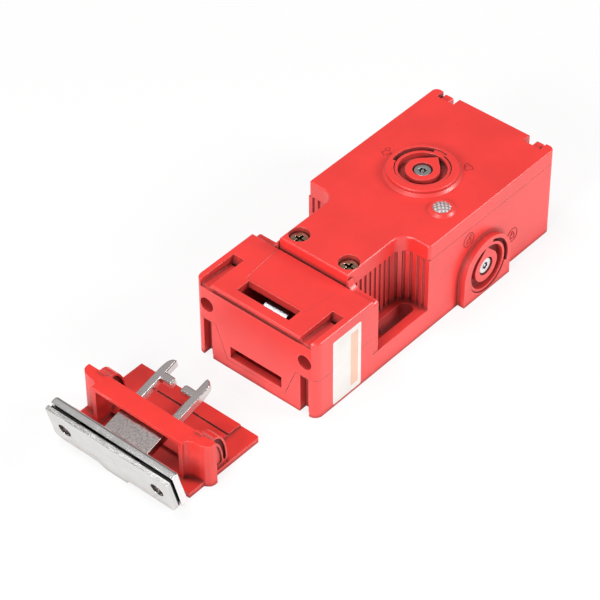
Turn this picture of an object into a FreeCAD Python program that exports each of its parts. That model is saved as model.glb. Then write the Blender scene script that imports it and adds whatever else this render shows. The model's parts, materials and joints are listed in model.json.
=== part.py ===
import FreeCAD, Part
import math
import os
import re

from FreeCAD import Placement, Rotation, Vector
import Sketcher

# Tongue interlock switch with guard locking, its flexible actuator and its alignment guide.
# Millimetres. +X runs from the head's front face to the rear of the switch, +Z is up.
# The origin is on the mounting plane, below the middle of the head's front face.
# The guide and the actuator lie in front of the head, on the same plane.

doc = FreeCAD.newDocument("tongue_interlock_switch")
sheet = doc.addObject("Spreadsheet::Sheet", "Sizes")

# Driving dimensions

SIZES = (
    # head
    ("head_len", 28.2, "front face of the head to the joint with the base"),
    ("head_width", 52.0, "width of head and body"),
    ("head_height", 32.4, "mounting plane to the top of the head"),
    ("head_corner", 3.0, "radius of the head's front corners"),
    ("head_edge", 0.7, "radius along the head's top edges"),
    ("head_split", 16.5, "height of the seam between the head shells, and of the cam pin"),
    ("seam_gap", 0.15, "gap that shows as the seam"),
    ("head_wall", 2.6, "front wall of the head"),
    ("head_rear_wall", 2.8, "rear wall of the head's cam chamber"),
    ("chamber_half", 11.6, "half width of the cam chamber"),
    ("chamber_floor", 3.6, "floor of the cam chamber"),
    ("chamber_roof", 2.8, "roof over the cam chamber"),
    ("entry_width", 22.2, "width of both tongue entries"),
    ("front_entry_z", 5.3, "underside of the front entry"),
    ("front_entry_height", 4.9, "height of the front entry"),
    ("top_entry_x", 4.0, "front edge of the top entry"),
    ("top_entry_len", 5.8, "length of the top entry"),
    ("apron_top_half", 17.2, "half width of the upper shell's apron at the seam"),
    ("apron_foot_half", 12.4, "half width of the apron at its foot"),
    ("apron_foot_z", 3.8, "height of the apron's foot"),
    ("clip_y", 20.9, "centre of the guide's clips and of the grooves that take them"),
    ("groove_width", 3.5, "width of a front clip groove"),
    ("groove_depth", 3.2, "depth of a front clip groove"),
    ("groove_top", 16.2, "top of a front clip groove"),
    ("foot_notch_width", 3.9, "notch in the bottom edge below each groove"),
    ("foot_notch_height", 2.0, "height of that notch"),
    ("channel_y", 21.3, "centre of a clip channel in the head's top"),
    ("channel_width", 4.6, "width of a clip channel"),
    ("channel_len", 16.3, "length of a clip channel"),
    ("channel_depth", 2.2, "depth of a clip channel at its mouth"),
    ("channel_fall", 1.3, "fall of its floor towards the rear"),
    ("lip_groove_depth", 1.0, "groove below the front lip of the head's top"),
    ("lip_groove_height", 2.0, "height of that groove"),
    ("lip_height", 0.8, "height of the lip"),
    ("field_depth", 0.15, "sunk field behind the top entry"),
    ("catch_len", 1.5, "catch pocket at the rear of a channel"),
    ("catch_depth", 3.4, "depth of the catch pocket below the channel's mouth"),
    ("head_screw_y", 21.0, "head fixing screws, from the middle"),
    ("head_screw_z", 22.8, "height of the head fixing screws"),
    ("head_screw_bore", 5.6, "diameter of the deep bore over a head screw"),
    ("head_screw_deep", 10.2, "seat of a head screw, in front of the head's joint"),
    # cam and its pin
    ("cam_x", 14.2, "cam pin, behind the front face"),
    ("cam_rad", 10.3, "outer radius of the cam"),
    ("cam_root", 6.2, "radius at the bottom of the cam's notches"),
    ("cam_fall", 4.0, "fall of the cam's ramp, which is the plunger's travel"),
    ("cam_turn", 60.0, "turn of the cam when the tongue goes in"),
    ("cam_width", 9.8, "width of the cam"),
    ("cam_tooth_width", 2.2, "width of the cam's middle tooth"),
    ("cam_tooth_rad", 11.5, "radius of the middle tooth"),
    ("pin_rad", 1.6, "radius of the cam pin"),
    ("pin_half", 14.6, "half length of the cam pin"),
    ("running", 0.05, "radial clearance of every running fit"),
    # plunger and contacts
    ("follower_gap", 0.35, "gap between the plunger's tip and the cam"),
    ("follower_tip", 1.0, "radius of the plunger's tip"),
    ("follower_cone", 3.0, "length of the cone behind the tip"),
    ("plunger_rad", 3.0, "radius of the plunger's rod"),
    ("bush_rad", 4.5, "outer radius of the plunger bush"),
    ("bush_len", 5.0, "length of the plunger bush"),
    ("carrier_back", 12.8, "front of the contact carrier, behind the head's joint"),
    ("carrier_len", 23.5, "length of the contact carrier"),
    ("carrier_half", 3.9, "half width of the contact carrier"),
    ("carrier_height", 12.4, "height of the contact carrier"),
    ("tail_back", 52.8, "rear end of the plunger's tail, behind the head's joint"),
    ("tail_half", 2.8, "half width and half height of the tail"),
    ("slide_gap", 0.3, "gap around the sliding contact carrier"),
    ("block_back", 11.3, "front of the contact block, behind the head's joint"),
    ("block_len", 26.5, "length of the contact block"),
    ("block_half", 10.3, "half width of the contact block"),
    ("block_top", 26.0, "top of the contact block"),
    ("contact_back", 18.8, "first bridge contact, behind the head's joint"),
    ("contact_pitch", 7.8, "pitch of the bridge contacts"),
    ("contact_strip", 1.2, "thickness of a contact strip"),
    ("contact_half", 8.0, "half length of a bridge contact"),
    ("contact_height", 3.0, "height of a bridge contact"),
    ("terminal_rad", 2.3, "radius of a terminal screw's head"),
    ("terminal_height", 1.8, "height of a terminal screw's head"),
    ("terminal_y", 7.4, "terminal screws, from the middle"),
    # base housing
    ("body_back", 28.5, "front of the wide part of the body, behind the head's joint"),
    ("body_len", 96.3, "head's joint to the rear of the body"),
    ("body_corner", 2.2, "radius of the rear corners"),
    ("seam_z", 30.3, "joint between base and lid"),
    ("waist_half", 14.0, "half width of the fluted waist"),
    ("waist_fillet", 5.5, "radius where the waist meets the wide part"),
    ("flange_len", 2.8, "thickness of the flange behind the head"),
    ("flange_inset", 0.2, "inset of that flange from the head's sides"),
    ("flange_top", 30.8, "top of the flange at its ends"),
    ("fairing_height", 3.8, "rise of the flange beside the waist"),
    ("fairing_len", 5.0, "length of that rise"),
    ("ledge_top", 8.9, "top of the mounting ledges beside the waist"),
    ("floor", 3.0, "floor of the base"),
    ("side_wall", 2.8, "side walls of the base and lid"),
    ("waist_wall", 3.2, "walls of the waist"),
    ("rear_wall", 6.5, "rear wall of the base and lid"),
    ("neck_len", 10.3, "solid neck behind the head, which holds bush and lid screws"),
    ("neck_hole_half", 5.5, "half width of the passage through the neck"),
    ("neck_hole_z", 9.5, "floor of that passage"),
    ("neck_hole_top", 24.0, "roof of that passage"),
    ("flute_rad", 0.6, "radius of a flute in the waist"),
    ("flute_back", 5.4, "first flute, behind the head's joint"),
    ("flute_pitch", 2.45, "pitch of the flutes"),
    ("pocket_y", 19.7, "mounting slots, from the middle"),
    ("pocket_half", 2.75, "half width of the pocket over a mounting slot"),
    ("pocket_floor", 4.0, "floor of that pocket"),
    ("pocket_back", 24.3, "centre of the pocket's round end, behind the head's joint"),
    ("slot_half", 2.7, "half width of a mounting slot"),
    ("slot_travel", 8.0, "length of a mounting slot between its end centres"),
    ("conduit_rad", 9.25, "core radius of the threaded conduit entry"),
    ("conduit_boss", 12.0, "radius of the boss around the conduit entry"),
    ("conduit_len", 11.5, "length of the thread"),
    ("conduit_z", 15.2, "height of the conduit entry"),
    ("tab_y", 19.9, "hinge tabs at the rear, from the middle"),
    ("tab_half", 1.9, "half width of a hinge tab"),
    ("tab_len", 3.2, "thickness of a hinge tab"),
    ("tab_top", 35.4, "top of a hinge tab"),
    # lid
    ("lid_top", 36.5, "top of the lid"),
    ("lid_plate", 2.3, "thickness of the lid's top"),
    ("lid_overhang", 0.5, "overhang of the lid over the waist"),
    ("lid_back", 0.6, "front edge of the lid, behind the head's joint"),
    ("lid_corner", 1.2, "radius of the lid's front corners"),
    ("lid_edge", 0.6, "radius along the lid's top edges"),
    ("lid_foot", 0.25, "radius along the lid's lower edges"),
    ("notch_half", 3.7, "half width of the notch for a hinge tab"),
    ("notch_y", 18.8, "centre of that notch"),
    ("notch_len", 3.9, "depth of that notch"),
    ("lid_screw_back", 6.0, "lid screws, behind the head's joint"),
    ("lid_screw_y", 10.6, "lid screws, from the middle"),
    ("lid_recess_rad", 3.7, "radius of the recess over a lid screw"),
    ("lid_seat", 32.4, "height of the lid screw's seat"),
    ("lid_screw_rad", 2.0, "radius of a lid screw"),
    ("lid_screw_head_rad", 3.1, "radius of a lid screw's head"),
    ("lid_screw_head", 2.3, "height of a lid screw's head"),
    ("lid_screw_foot", 20.0, "height of the lid screw's end"),
    ("recess_width", 0.9, "width of a cross recess"),
    ("gasket_inset", 0.7, "wall between the chamber and the gasket"),
    ("gasket_width", 1.2, "width of the gasket"),
    ("gasket_height", 1.1, "height of the gasket"),
    ("lamp_back", 46.1, "indicator lamp, behind the head's joint"),
    ("lamp_y", -16.8, "indicator lamp, from the middle"),
    ("lamp_rad", 3.05, "radius of the lens"),
    ("lamp_collar", 4.0, "radius of the collar around the lens"),
    ("lamp_foot", 4.8, "radius of the collar at its foot"),
    ("lamp_collar_height", 0.9, "height of that collar"),
    ("lens_rise", 0.9, "rise of the lens above its collar"),
    ("led_rad", 1.5, "radius of the lamp inside"),
    # manual releases
    ("top_release_back", 56.8, "axis of the top release, behind the head's joint"),
    ("side_release_back", 57.2, "axis of the side release, behind the head's joint"),
    ("side_release_z", 10.4, "height of the side release"),
    ("release_boss", 12.4, "radius of a release boss"),
    ("release_rise", 2.2, "rise of the top release boss above the lid"),
    ("release_foot", 0.9, "flare at the foot of that boss"),
    ("side_release_rise", 2.8, "rise of the side release boss from the wall"),
    ("rotor_rad", 9.5, "outer radius of the turning collar"),
    ("rotor_gap", 0.3, "gap around the turning collar"),
    ("collar_wall", 1.0, "wall of the turning collar"),
    ("collar_drop", 0.4, "collar below the face of the boss"),
    ("knob_rad", 5.9, "radius of the release knob"),
    ("knob_drop", 0.7, "knob below the face of the boss"),
    ("recess_depth", 2.7, "depth of the recess around the knob"),
    ("rotor_depth", 4.7, "depth of the rotor below the face of the boss"),
    ("stop_rad", 11.0, "radius of the stop slot"),
    ("stop_depth", 1.9, "depth of the stop slot"),
    ("stop_lead", 17.0, "angle from the pointer to the leading edge of the stop"),
    ("stop_angle", 27.0, "width of the stop"),
    ("release_turn", 90.0, "turn of a release"),
    ("shaft_rad", 3.5, "radius of a release shaft"),
    ("shaft_disc_rad", 6.6, "radius of the disc on a release shaft"),
    ("shaft_disc", 1.5, "thickness of that disc"),
    ("peg_orbit", 5.4, "radius at which the release peg runs"),
    ("peg_rad", 1.0, "radius of the release peg"),
    ("peg_len", 10.0, "length of the release peg"),
    ("top_shaft_len", 8.0, "length of the top release's shaft"),
    ("side_shaft_len", 6.0, "length of the side release's shaft"),
    ("seal_major", 6.4, "middle radius of a release seal"),
    ("seal_minor", 0.65, "section radius of a release seal"),
    ("release_screw_hole", 3.5, "radius of the hole over the release screw"),
    ("release_screw_rad", 2.9, "radius of the release screw's head"),
    ("release_screw_head", 1.6, "height of the release screw's head"),
    ("tamper_pin", 0.6, "radius of the pin in the release screw's socket"),
    # lock solenoid
    ("lock_back", 50.8, "axis of the lock bolt, behind the head's joint"),
    ("bolt_rad", 2.2, "radius of the lock bolt"),
    ("bolt_gap", 0.3, "gap between the bolt and the plunger's tail"),
    ("bolt_stroke", 2.0, "stroke of the lock bolt"),
    ("arm_y", 4.7, "near face of the bolt's release arm"),
    ("arm_len", 1.0, "thickness of the release arm"),
    ("arm_reach", 7.5, "reach of the release arm"),
    ("yoke_y", 9.8, "near face of the solenoid yoke"),
    ("yoke_plate", 1.4, "thickness of the yoke"),
    ("coil_len", 9.6, "length of the coil"),
    ("coil_rad", 7.5, "radius of the coil"),
    ("bobbin_wall", 1.1, "wall of the bobbin"),
    ("bobbin_flange", 0.8, "thickness of a bobbin flange"),
    ("armature_rad", 3.0, "radius of the armature"),
    ("armature_len", 8.4, "length of the armature"),
    ("spring_wire", 0.25, "radius of the lock spring's wire"),
    ("spring_turns", 2.5, "turns of the lock spring"),
    # guide and actuator, as they lie in front of the head
    ("set_y", 7.1, "middle of the guide"),
    ("actuator_y", 5.7, "middle of the actuator, which lies a little loose in the guide"),
    ("guide_x", -51.9, "near edge of the guide's base plate"),
    ("guide_len", 33.0, "length of the base plate"),
    ("guide_half", 27.3, "half width over the ears"),
    ("guide_plate_half", 26.5, "far side of the base plate, from the middle of the guide"),
    ("guide_plate_near", 25.3, "near side of the base plate, likewise"),
    ("guide_plate", 2.0, "thickness of the base plate"),
    ("plateau_rise", 0.9, "raised middle of the base plate"),
    ("plateau_half", 17.6, "edge of the raised middle on the near side"),
    ("plate_groove_x", -25.7, "cross groove in the base plate"),
    ("plate_groove_width", 0.8, "width of that groove"),
    ("tunnel_x", -48.4, "mouth of the tunnel"),
    ("tunnel_len", 6.4, "length of the tunnel"),
    ("tunnel_half", 17.9, "half width inside the tunnel"),
    ("tunnel_wall", 1.6, "walls of the tunnel"),
    ("guide_top", 17.7, "top of the tunnel"),
    ("roof_plate", 1.4, "thickness of the tunnel's roof"),
    ("nub_height", 0.7, "nubs on the roof"),
    ("clip_x", -42.0, "root of a clip"),
    ("clip_reach", 9.0, "reach of a clip"),
    ("clip_top", 15.8, "top of a clip"),
    ("clip_width", 5.0, "width of a clip"),
    ("clip_side", 21.9, "clips, from the middle of the guide"),
    ("clip_band", 1.2, "depth of the curved groove in a clip's side"),
    ("clip_hollow", 0.5, "depth of the hollow inside that groove"),
    ("foot_x", -59.8, "foot of the leaning actuator"),
    ("lean", 14.5, "angle at which the actuator leans back"),
    ("foot_tab", 1.8, "tab below the actuator plate"),
    ("foot_tab_half", 4.6, "half width of that tab"),
    ("foot_slope", 3.0, "slope on one side of that tab"),
    ("plate_height", 15.2, "height of the actuator plate"),
    ("plate_half", 26.2, "half width of the actuator plate"),
    ("plate_thick", 1.6, "thickness of the actuator plate"),
    ("plate_corner", 2.4, "corner radius of the actuator plate"),
    ("plate_hole_y", 20.0, "fixing holes, from the middle"),
    ("plate_hole_rad", 2.65, "radius of a fixing hole"),
    ("flex_gap", 1.25, "gap between the plate and the bar"),
    ("pad_gap", 0.35, "room left in front of the rubber pads"),
    ("pad_inset", 0.7, "rubber pads inside the plate's outline"),
    ("strip_half", 13.0, "half width of the clamp strip"),
    ("strip_thick", 0.6, "thickness of the clamp strip"),
    ("bar_thick", 3.2, "thickness of the bar"),
    ("bar_round", 1.4, "rounding of the bar's rear edges"),
    ("tenon_half", 6.0, "half width of the tongue's tenon in the bar"),
    ("tongue_thick", 3.0, "thickness of the tongue"),
    ("web_end", 17.0, "end of the tongue's web, from the plate's face"),
    ("tongue_len", 40.0, "tip of the tongue, from the plate's face"),
    ("prong_outer", 9.3, "outer face of a prong, from the middle"),
    ("prong_inner", 6.4, "inner face of a prong, from the middle"),
    ("lug_end", 2.0, "end of a lug, from the middle"),
    ("lug_x", 31.7, "lugs, from the plate's face"),
    ("lug_len", 2.9, "length of a lug"),
    ("lug_corner", 0.6, "bevelled corner of a lug"),
    ("prong_taper", 3.3, "length of the rounded tip"),
    ("tip_corner", 0.4, "bevelled inner corner of a tip"),
    ("tongue_edge", 0.45, "radius along the tongue's edges"),
)

# Places that move with the head's joint

PLACES = (
    ("head_screw_seat", "head_len - head_screw_deep"),
    ("carrier_x", "head_len + carrier_back"),
    ("tail_end", "head_len + tail_back"),
    ("block_x", "head_len + block_back"),
    ("contact_x", "head_len + contact_back"),
    ("body_x", "head_len + body_back"),
    ("body_end", "head_len + body_len"),
    ("flute_x", "head_len + flute_back"),
    ("pocket_end_x", "head_len + pocket_back"),
    ("lid_front", "head_len + lid_back"),
    ("lid_screw_x", "head_len + lid_screw_back"),
    ("lamp_x", "head_len + lamp_back"),
    ("top_release_x", "head_len + top_release_back"),
    ("side_release_x", "head_len + side_release_back"),
    ("lock_x", "head_len + lock_back"),
)

for row, (name, number, note) in enumerate(SIZES, 1):
    sheet.set("A%d" % row, note)
    sheet.set("B%d" % row, str(number))
    sheet.setAlias("B%d" % row, name)
for row, (name, formula) in enumerate(PLACES, len(SIZES) + 1):
    sheet.set("B%d" % row, "=" + formula)
    sheet.setAlias("B%d" % row, name)
doc.recompute()

NAMES = {size[0] for size in SIZES} | {name for name, formula in PLACES}
WORD = re.compile(r"[a-z][a-z0-9_]*")


# Helpers

def bind(obj, prop, formula):
    """Ties a property to a formula of names from the sheet."""
    linked = WORD.sub(lambda m: "Sizes." + m.group() if m.group() in NAMES else m.group(), str(formula))
    obj.setExpression(prop, linked)


def get(name):
    """The present value of one size."""
    return float(getattr(sheet, name))


def place(obj, x="0", y="0", z="0"):
    bind(obj, "Placement.Base.x", x)
    bind(obj, "Placement.Base.y", y)
    bind(obj, "Placement.Base.z", z)


def box(name, low, high):
    """A block between two corners."""
    solid = doc.addObject("Part::Box", name)
    for prop, a, b in zip(("Length", "Width", "Height"), low, high):
        bind(solid, prop, "(%s) - (%s)" % (b, a))
    place(solid, *low)
    return solid


TURN = {
    "x": Rotation(Vector(0, 1, 0), 90),
    "y": Rotation(Vector(1, 0, 0), -90),
    "z": Rotation(),
}


def rod(name, axis, a, b, radius, start, end, angle=None):
    """A cylinder along an axis: a and b are its centre in the other two axes, in X, Y, Z order."""
    solid = doc.addObject("Part::Cylinder", name)
    bind(solid, "Radius", radius)
    bind(solid, "Height", "(%s) - (%s)" % (end, start))
    if angle is not None:
        bind(solid, "Angle", angle)
    solid.Placement = Placement(Vector(), TURN[axis])
    centre = {"x": (start, a, b), "y": (a, start, b), "z": (a, b, start)}[axis]
    place(solid, *centre)
    return solid


def flare(name, x, y, foot, top, start, end):
    """An upright cone between two radii."""
    solid = doc.addObject("Part::Cone", name)
    bind(solid, "Radius1", foot)
    bind(solid, "Radius2", top)
    bind(solid, "Height", "(%s) - (%s)" % (end, start))
    place(solid, x, y, start)
    return solid


def spin(solid, degrees, axis=Vector(0, 0, 1)):
    """Turns a solid about its own origin by a formula."""
    solid.Placement = Placement(Vector(), Rotation(axis, 1))
    bind(solid, "Placement.Rotation.Angle", degrees)


def fuse(name, *parts):
    solid = doc.addObject("Part::MultiFuse", name)
    solid.Shapes = list(parts)
    solid.Refine = True
    return solid


def cut(name, base, *tools):
    solid = doc.addObject("Part::Cut", name)
    solid.Base = base
    solid.Tool = tools[0] if len(tools) == 1 else fuse(name + "_tools", *tools)
    solid.Refine = True
    return solid


def common(name, base, tool):
    solid = doc.addObject("Part::Common", name)
    solid.Base = base
    solid.Tool = tool
    solid.Refine = True
    return solid


def group(name, *parts):
    """Separate equal solids that share one node."""
    solid = doc.addObject("Part::Compound", name)
    solid.Links = list(parts)
    return solid


def rounded(name, base, radius, pick):
    """Rounds the edges of a solid that pick chooses."""
    doc.recompute()
    solid = doc.addObject("Part::Fillet", name)
    solid.Base = base
    solid.Edges = [(i, radius, radius) for i, edge in enumerate(base.Shape.Edges, 1) if pick(edge)]
    return solid


def upright(edge, x=None, y=None, low=None):
    """True for a straight vertical edge at x and at plus or minus y."""
    b = edge.BoundBox
    if b.ZLength < 0.5 or b.XLength > 1e-4 or b.YLength > 1e-4:
        return False
    if x is not None and abs(b.XMin - x) > 1e-3:
        return False
    if y is not None and abs(abs(b.YMin) - y) > 1e-3:
        return False
    return low is None or b.ZMin < low


def level(edge, z):
    """True for an edge that lies at height z."""
    b = edge.BoundBox
    return b.ZLength < 1e-4 and abs(b.ZMin - z) < 1e-3


PLANES = {"XY": "XY_Plane", "XZ": "XZ_Plane", "YZ": "YZ_Plane"}


def prism(name, plane, points, start, end):
    """A body padded from a closed sketch whose corners are all set from the sheet.

    The corners are pairs of formulas in the plane's own axes, and start and end are the
    limits along the remaining axis.
    """
    body = doc.addObject("PartDesign::Body", name)
    sketch = body.newObject("Sketcher::SketchObject", name + "_sketch")
    origin = [f for f in body.Origin.OriginFeatures if f.Role == PLANES[plane]][0]
    sketch.AttachmentSupport = [(origin, "")]
    sketch.MapMode = "FlatFace"
    bind(sketch, "AttachmentOffset.Base.z", "-(%s)" % end if plane == "XZ" else start)
    spots = [Vector(10.0 * math.cos(6.283 * i / len(points)), 10.0 * math.sin(6.283 * i / len(points)), 0)
             for i in range(len(points))]
    for i, spot in enumerate(spots):
        sketch.addGeometry(Part.LineSegment(spot, spots[(i + 1) % len(spots)]), False)
    for i in range(len(points)):
        sketch.addConstraint(Sketcher.Constraint("Coincident", i, 2, (i + 1) % len(points), 1))
    for i, (u, v) in enumerate(points):
        for kind, formula, word in (("DistanceX", u, "u"), ("DistanceY", v, "v")):
            spot = spots[i].x if kind == "DistanceX" else spots[i].y
            index = sketch.addConstraint(Sketcher.Constraint(kind, -1, 1, i, 1, spot))
            sketch.renameConstraint(index, "%s%d" % (word, i))
            bind(sketch, "Constraints.%s%d" % (word, i), formula)
    pad = body.newObject("PartDesign::Pad", name + "_pad")
    pad.Profile = sketch
    bind(pad, "Length", "(%s) - (%s)" % (end, start))
    body.Tip = pad
    return body


def mirrored(name, source):
    """The same solid on the other side of the XZ plane."""
    solid = doc.addObject("Part::Mirroring", name)
    solid.Source = source
    solid.Normal = Vector(0, 1, 0)
    return solid


NODES = []


def node(solid, label):
    solid.Label = label
    NODES.append(solid)
    return solid


# Positions that follow from the sizes

half = "head_width / 2"
front_entry_top = "front_entry_z + front_entry_height"
flange_end = "head_len + flange_len"
neck_end = "head_len + neck_len"
chamber_end = "body_end - rear_wall"
chamber_half = "head_width / 2 - side_wall"
waist_chamber = "waist_half - waist_wall"
channel_floor = "head_height - channel_depth"
axis_z = "head_split"

# Head block, which the two shells share

block = box("head_solid", ("0", "-" + half, "0"), ("head_len", half, "head_height"))
block = rounded("head_corners", block, get("head_corner"), lambda e: upright(e, x=0.0))
block = rounded("head_edges", block, get("head_edge"), lambda e: level(e, get("head_height")))

hollow = [
    box("cam_chamber", ("head_wall", "-chamber_half", "chamber_floor"),
        ("head_len - head_rear_wall", "chamber_half", "head_height - chamber_roof")),
    box("front_entry", ("-1", "-entry_width / 2", "front_entry_z"),
        ("head_wall + 1", "entry_width / 2", front_entry_top)),
    box("top_entry", ("top_entry_x", "-entry_width / 2", "head_height - chamber_roof - 1"),
        ("top_entry_x + top_entry_len", "entry_width / 2", "head_height + 1")),
    box("lip_groove", ("-1", "-channel_y - channel_width / 2", "head_height - lip_height - lip_groove_height"),
        ("lip_groove_depth", "channel_y + channel_width / 2", "head_height - lip_height")),
    rod("pin_seat", "y", "cam_x", axis_z, "pin_rad", "-pin_half", "pin_half"),
    rod("plunger_hole", "x", "0", axis_z, "plunger_rad + 0.4", "head_len - head_rear_wall - 1", "head_len + 1"),
]
for side, sign in (("left", ""), ("right", "-")):
    y = sign + "clip_y"
    hollow += [
        box("clip_groove_" + side, ("-1", y + " - groove_width / 2", "-1"),
            ("groove_depth", y + " + groove_width / 2", "groove_top")),
        box("foot_notch_" + side, ("-1", y + " - foot_notch_width / 2", "-1"),
            ("groove_depth", y + " + foot_notch_width / 2", "foot_notch_height")),
        prism("clip_channel_" + side, "XZ",
              [("-1", channel_floor), ("0", channel_floor), ("channel_len", channel_floor + " - channel_fall"),
               ("channel_len", "head_height + 1"), ("-1", "head_height + 1")],
              sign + "channel_y - channel_width / 2", sign + "channel_y + channel_width / 2"),
        box("clip_catch_" + side,
            ("channel_len - catch_len", sign + "channel_y - channel_width / 2", channel_floor + " - catch_depth"),
            ("channel_len", sign + "channel_y + channel_width / 2", "head_height")),
        rod("head_screw_bore_" + side, "x", sign + "head_screw_y", "head_screw_z", "head_screw_bore / 2",
            "-1", "head_screw_seat"),
        rod("head_screw_hole_" + side, "x", sign + "head_screw_y", "head_screw_z", "1.5",
            "head_screw_seat - 1", "head_len + 1"),
    ]
field_start = "top_entry_x + top_entry_len + 0.6"
hollow.append(prism("sunk_field", "XY",
                    [(field_start, "-entry_width / 2 - 1.6"), ("head_len + 1", "-waist_half - lid_overhang"),
                     ("head_len + 1", "waist_half + lid_overhang"), (field_start, "entry_width / 2 + 1.6")],
                    "head_height - field_depth", "head_height + 1"))
head = cut("head_hollowed", block, *hollow)

apron_points = [("-apron_top_half", "head_split + 1"), ("-apron_top_half", "head_split"),
                ("-apron_foot_half", "apron_foot_z"), ("apron_foot_half", "apron_foot_z"),
                ("apron_top_half", "head_split"), ("apron_top_half", "head_split + 1")]
apron = prism("apron", "YZ", apron_points, "-1", "head_wall")
over = box("over_seam", ("-2", "-40", "head_split"), ("head_len + 2", "40", "head_height + 5"))
upper_room = fuse("upper_room", over, apron)
node(common("head_upper_shell", head, upper_room), "head_upper")

gap_points = [("-apron_top_half - seam_gap", "head_split + 1"), ("-apron_top_half - seam_gap", "head_split"),
              ("-apron_foot_half - seam_gap", "apron_foot_z - seam_gap"),
              ("apron_foot_half + seam_gap", "apron_foot_z - seam_gap"),
              ("apron_top_half + seam_gap", "head_split"), ("apron_top_half + seam_gap", "head_split + 1")]
gap = prism("apron_gap", "YZ", gap_points, "-1", "head_wall + seam_gap")
over_gap = box("over_gap", ("-2", "-40", "head_split - seam_gap"), ("head_len + 2", "40", "head_height + 5"))
node(cut("head_lower_shell", head, over_gap, gap), "head_lower")

# Head screws, deep in their bores

head_screws = []
for side, sign in (("left", ""), ("right", "-")):
    y = sign + "head_screw_y"
    head_screws.append(cut(
        "head_screw_" + side,
        fuse("head_screw_body_" + side,
             rod("head_screw_head_" + side, "x", y, "head_screw_z", "head_screw_bore / 2 - 0.2",
                 "head_screw_seat - 2.6", "head_screw_seat"),
             rod("head_screw_shank_" + side, "x", y, "head_screw_z", "1.5", "head_screw_seat - 1", flange_end)),
        box("head_screw_slot_a_" + side, ("head_screw_seat - 3", y + " - 0.4", "head_screw_z - 1.7"),
            ("head_screw_seat - 1.4", y + " + 0.4", "head_screw_z + 1.7")),
        box("head_screw_slot_b_" + side, ("head_screw_seat - 3", y + " - 1.7", "head_screw_z - 0.4"),
            ("head_screw_seat - 1.4", y + " + 1.7", "head_screw_z + 0.4"))))
node(group("head_screw_pair", *head_screws), "head_screws")

# Cam: a notch for each way in, and a ramp that lets the plunger forward as the cam turns


def polar(radius, degrees):
    """A corner of the cam, from its radius and its angle above the rearward direction."""
    return ("cam_x + (%s) * cos(%s)" % (radius, degrees), "head_split + (%s) * sin(%s)" % (radius, degrees))


RAMP_STEPS = 6
cam_points = []
for step in range(RAMP_STEPS + 1):
    share = "%d / %d" % (step, RAMP_STEPS)
    cam_points.append(polar("cam_rad - cam_fall + cam_fall * " + share, "-cam_turn + cam_turn * " + share))
cam_points += [polar("cam_rad", angle) for angle in range(11, 122, 11)]
cam_points += [polar("cam_rad", 130), polar("cam_root", 130)]
cam_points += [polar("cam_root", angle) for angle in (146, 162, 178)]
cam_points += [polar("cam_rad", angle) for angle in (178, 189, 200, 211, 222)]
cam_points += [polar("cam_root", angle) for angle in (222, 235, 248, 262)]
cam_points += [polar("cam_rad", 262), polar("cam_rad", 268)]
cam_points += [polar("cam_rad - cam_fall", angle) for angle in (274, 287)]
cam_disc = prism("cam_disc", "XZ", cam_points, "-cam_width / 2", "cam_width / 2")
tooth = prism("cam_tooth", "XZ",
              [polar("cam_root - 1", 221), polar("cam_tooth_rad", 222), polar("cam_tooth_rad", 229),
               polar("cam_root - 1", 236)],
              "-cam_tooth_width / 2", "cam_tooth_width / 2")
cam_bore = rod("cam_bore", "y", "cam_x", axis_z, "pin_rad + running", "-cam_width", "cam_width")
node(cut("cam_part", fuse("cam_body", cam_disc, tooth), cam_bore), "cam")
node(rod("cam_pin_rod", "y", "cam_x", axis_z, "pin_rad", "-pin_half", "pin_half"), "cam_pin")

# Plunger, with the contact carrier and its tail

tip_x = "cam_x + cam_rad + follower_gap"
ball = doc.addObject("Part::Sphere", "plunger_ball")
bind(ball, "Radius", "follower_tip")
place(ball, tip_x + " + follower_tip", "0", axis_z)
cone = doc.addObject("Part::Cone", "plunger_cone")
bind(cone, "Radius1", "follower_tip")
bind(cone, "Radius2", "plunger_rad")
bind(cone, "Height", "follower_cone")
cone.Placement = Placement(Vector(), TURN["x"])
place(cone, tip_x + " + follower_tip", "0", axis_z)
carrier_end = "carrier_x + carrier_len"
plunger = fuse(
    "plunger_body", ball, cone,
    rod("plunger_rod", "x", "0", axis_z, "plunger_rad", tip_x + " + follower_tip + follower_cone", "carrier_x + 1"),
    box("contact_carrier", ("carrier_x", "-carrier_half", "head_split - carrier_height / 2"),
        (carrier_end, "carrier_half", "head_split + carrier_height / 2")),
    box("plunger_tail", (carrier_end + " - 1", "-tail_half", "head_split - tail_half"),
        ("tail_end", "tail_half", "head_split + tail_half")))

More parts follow.
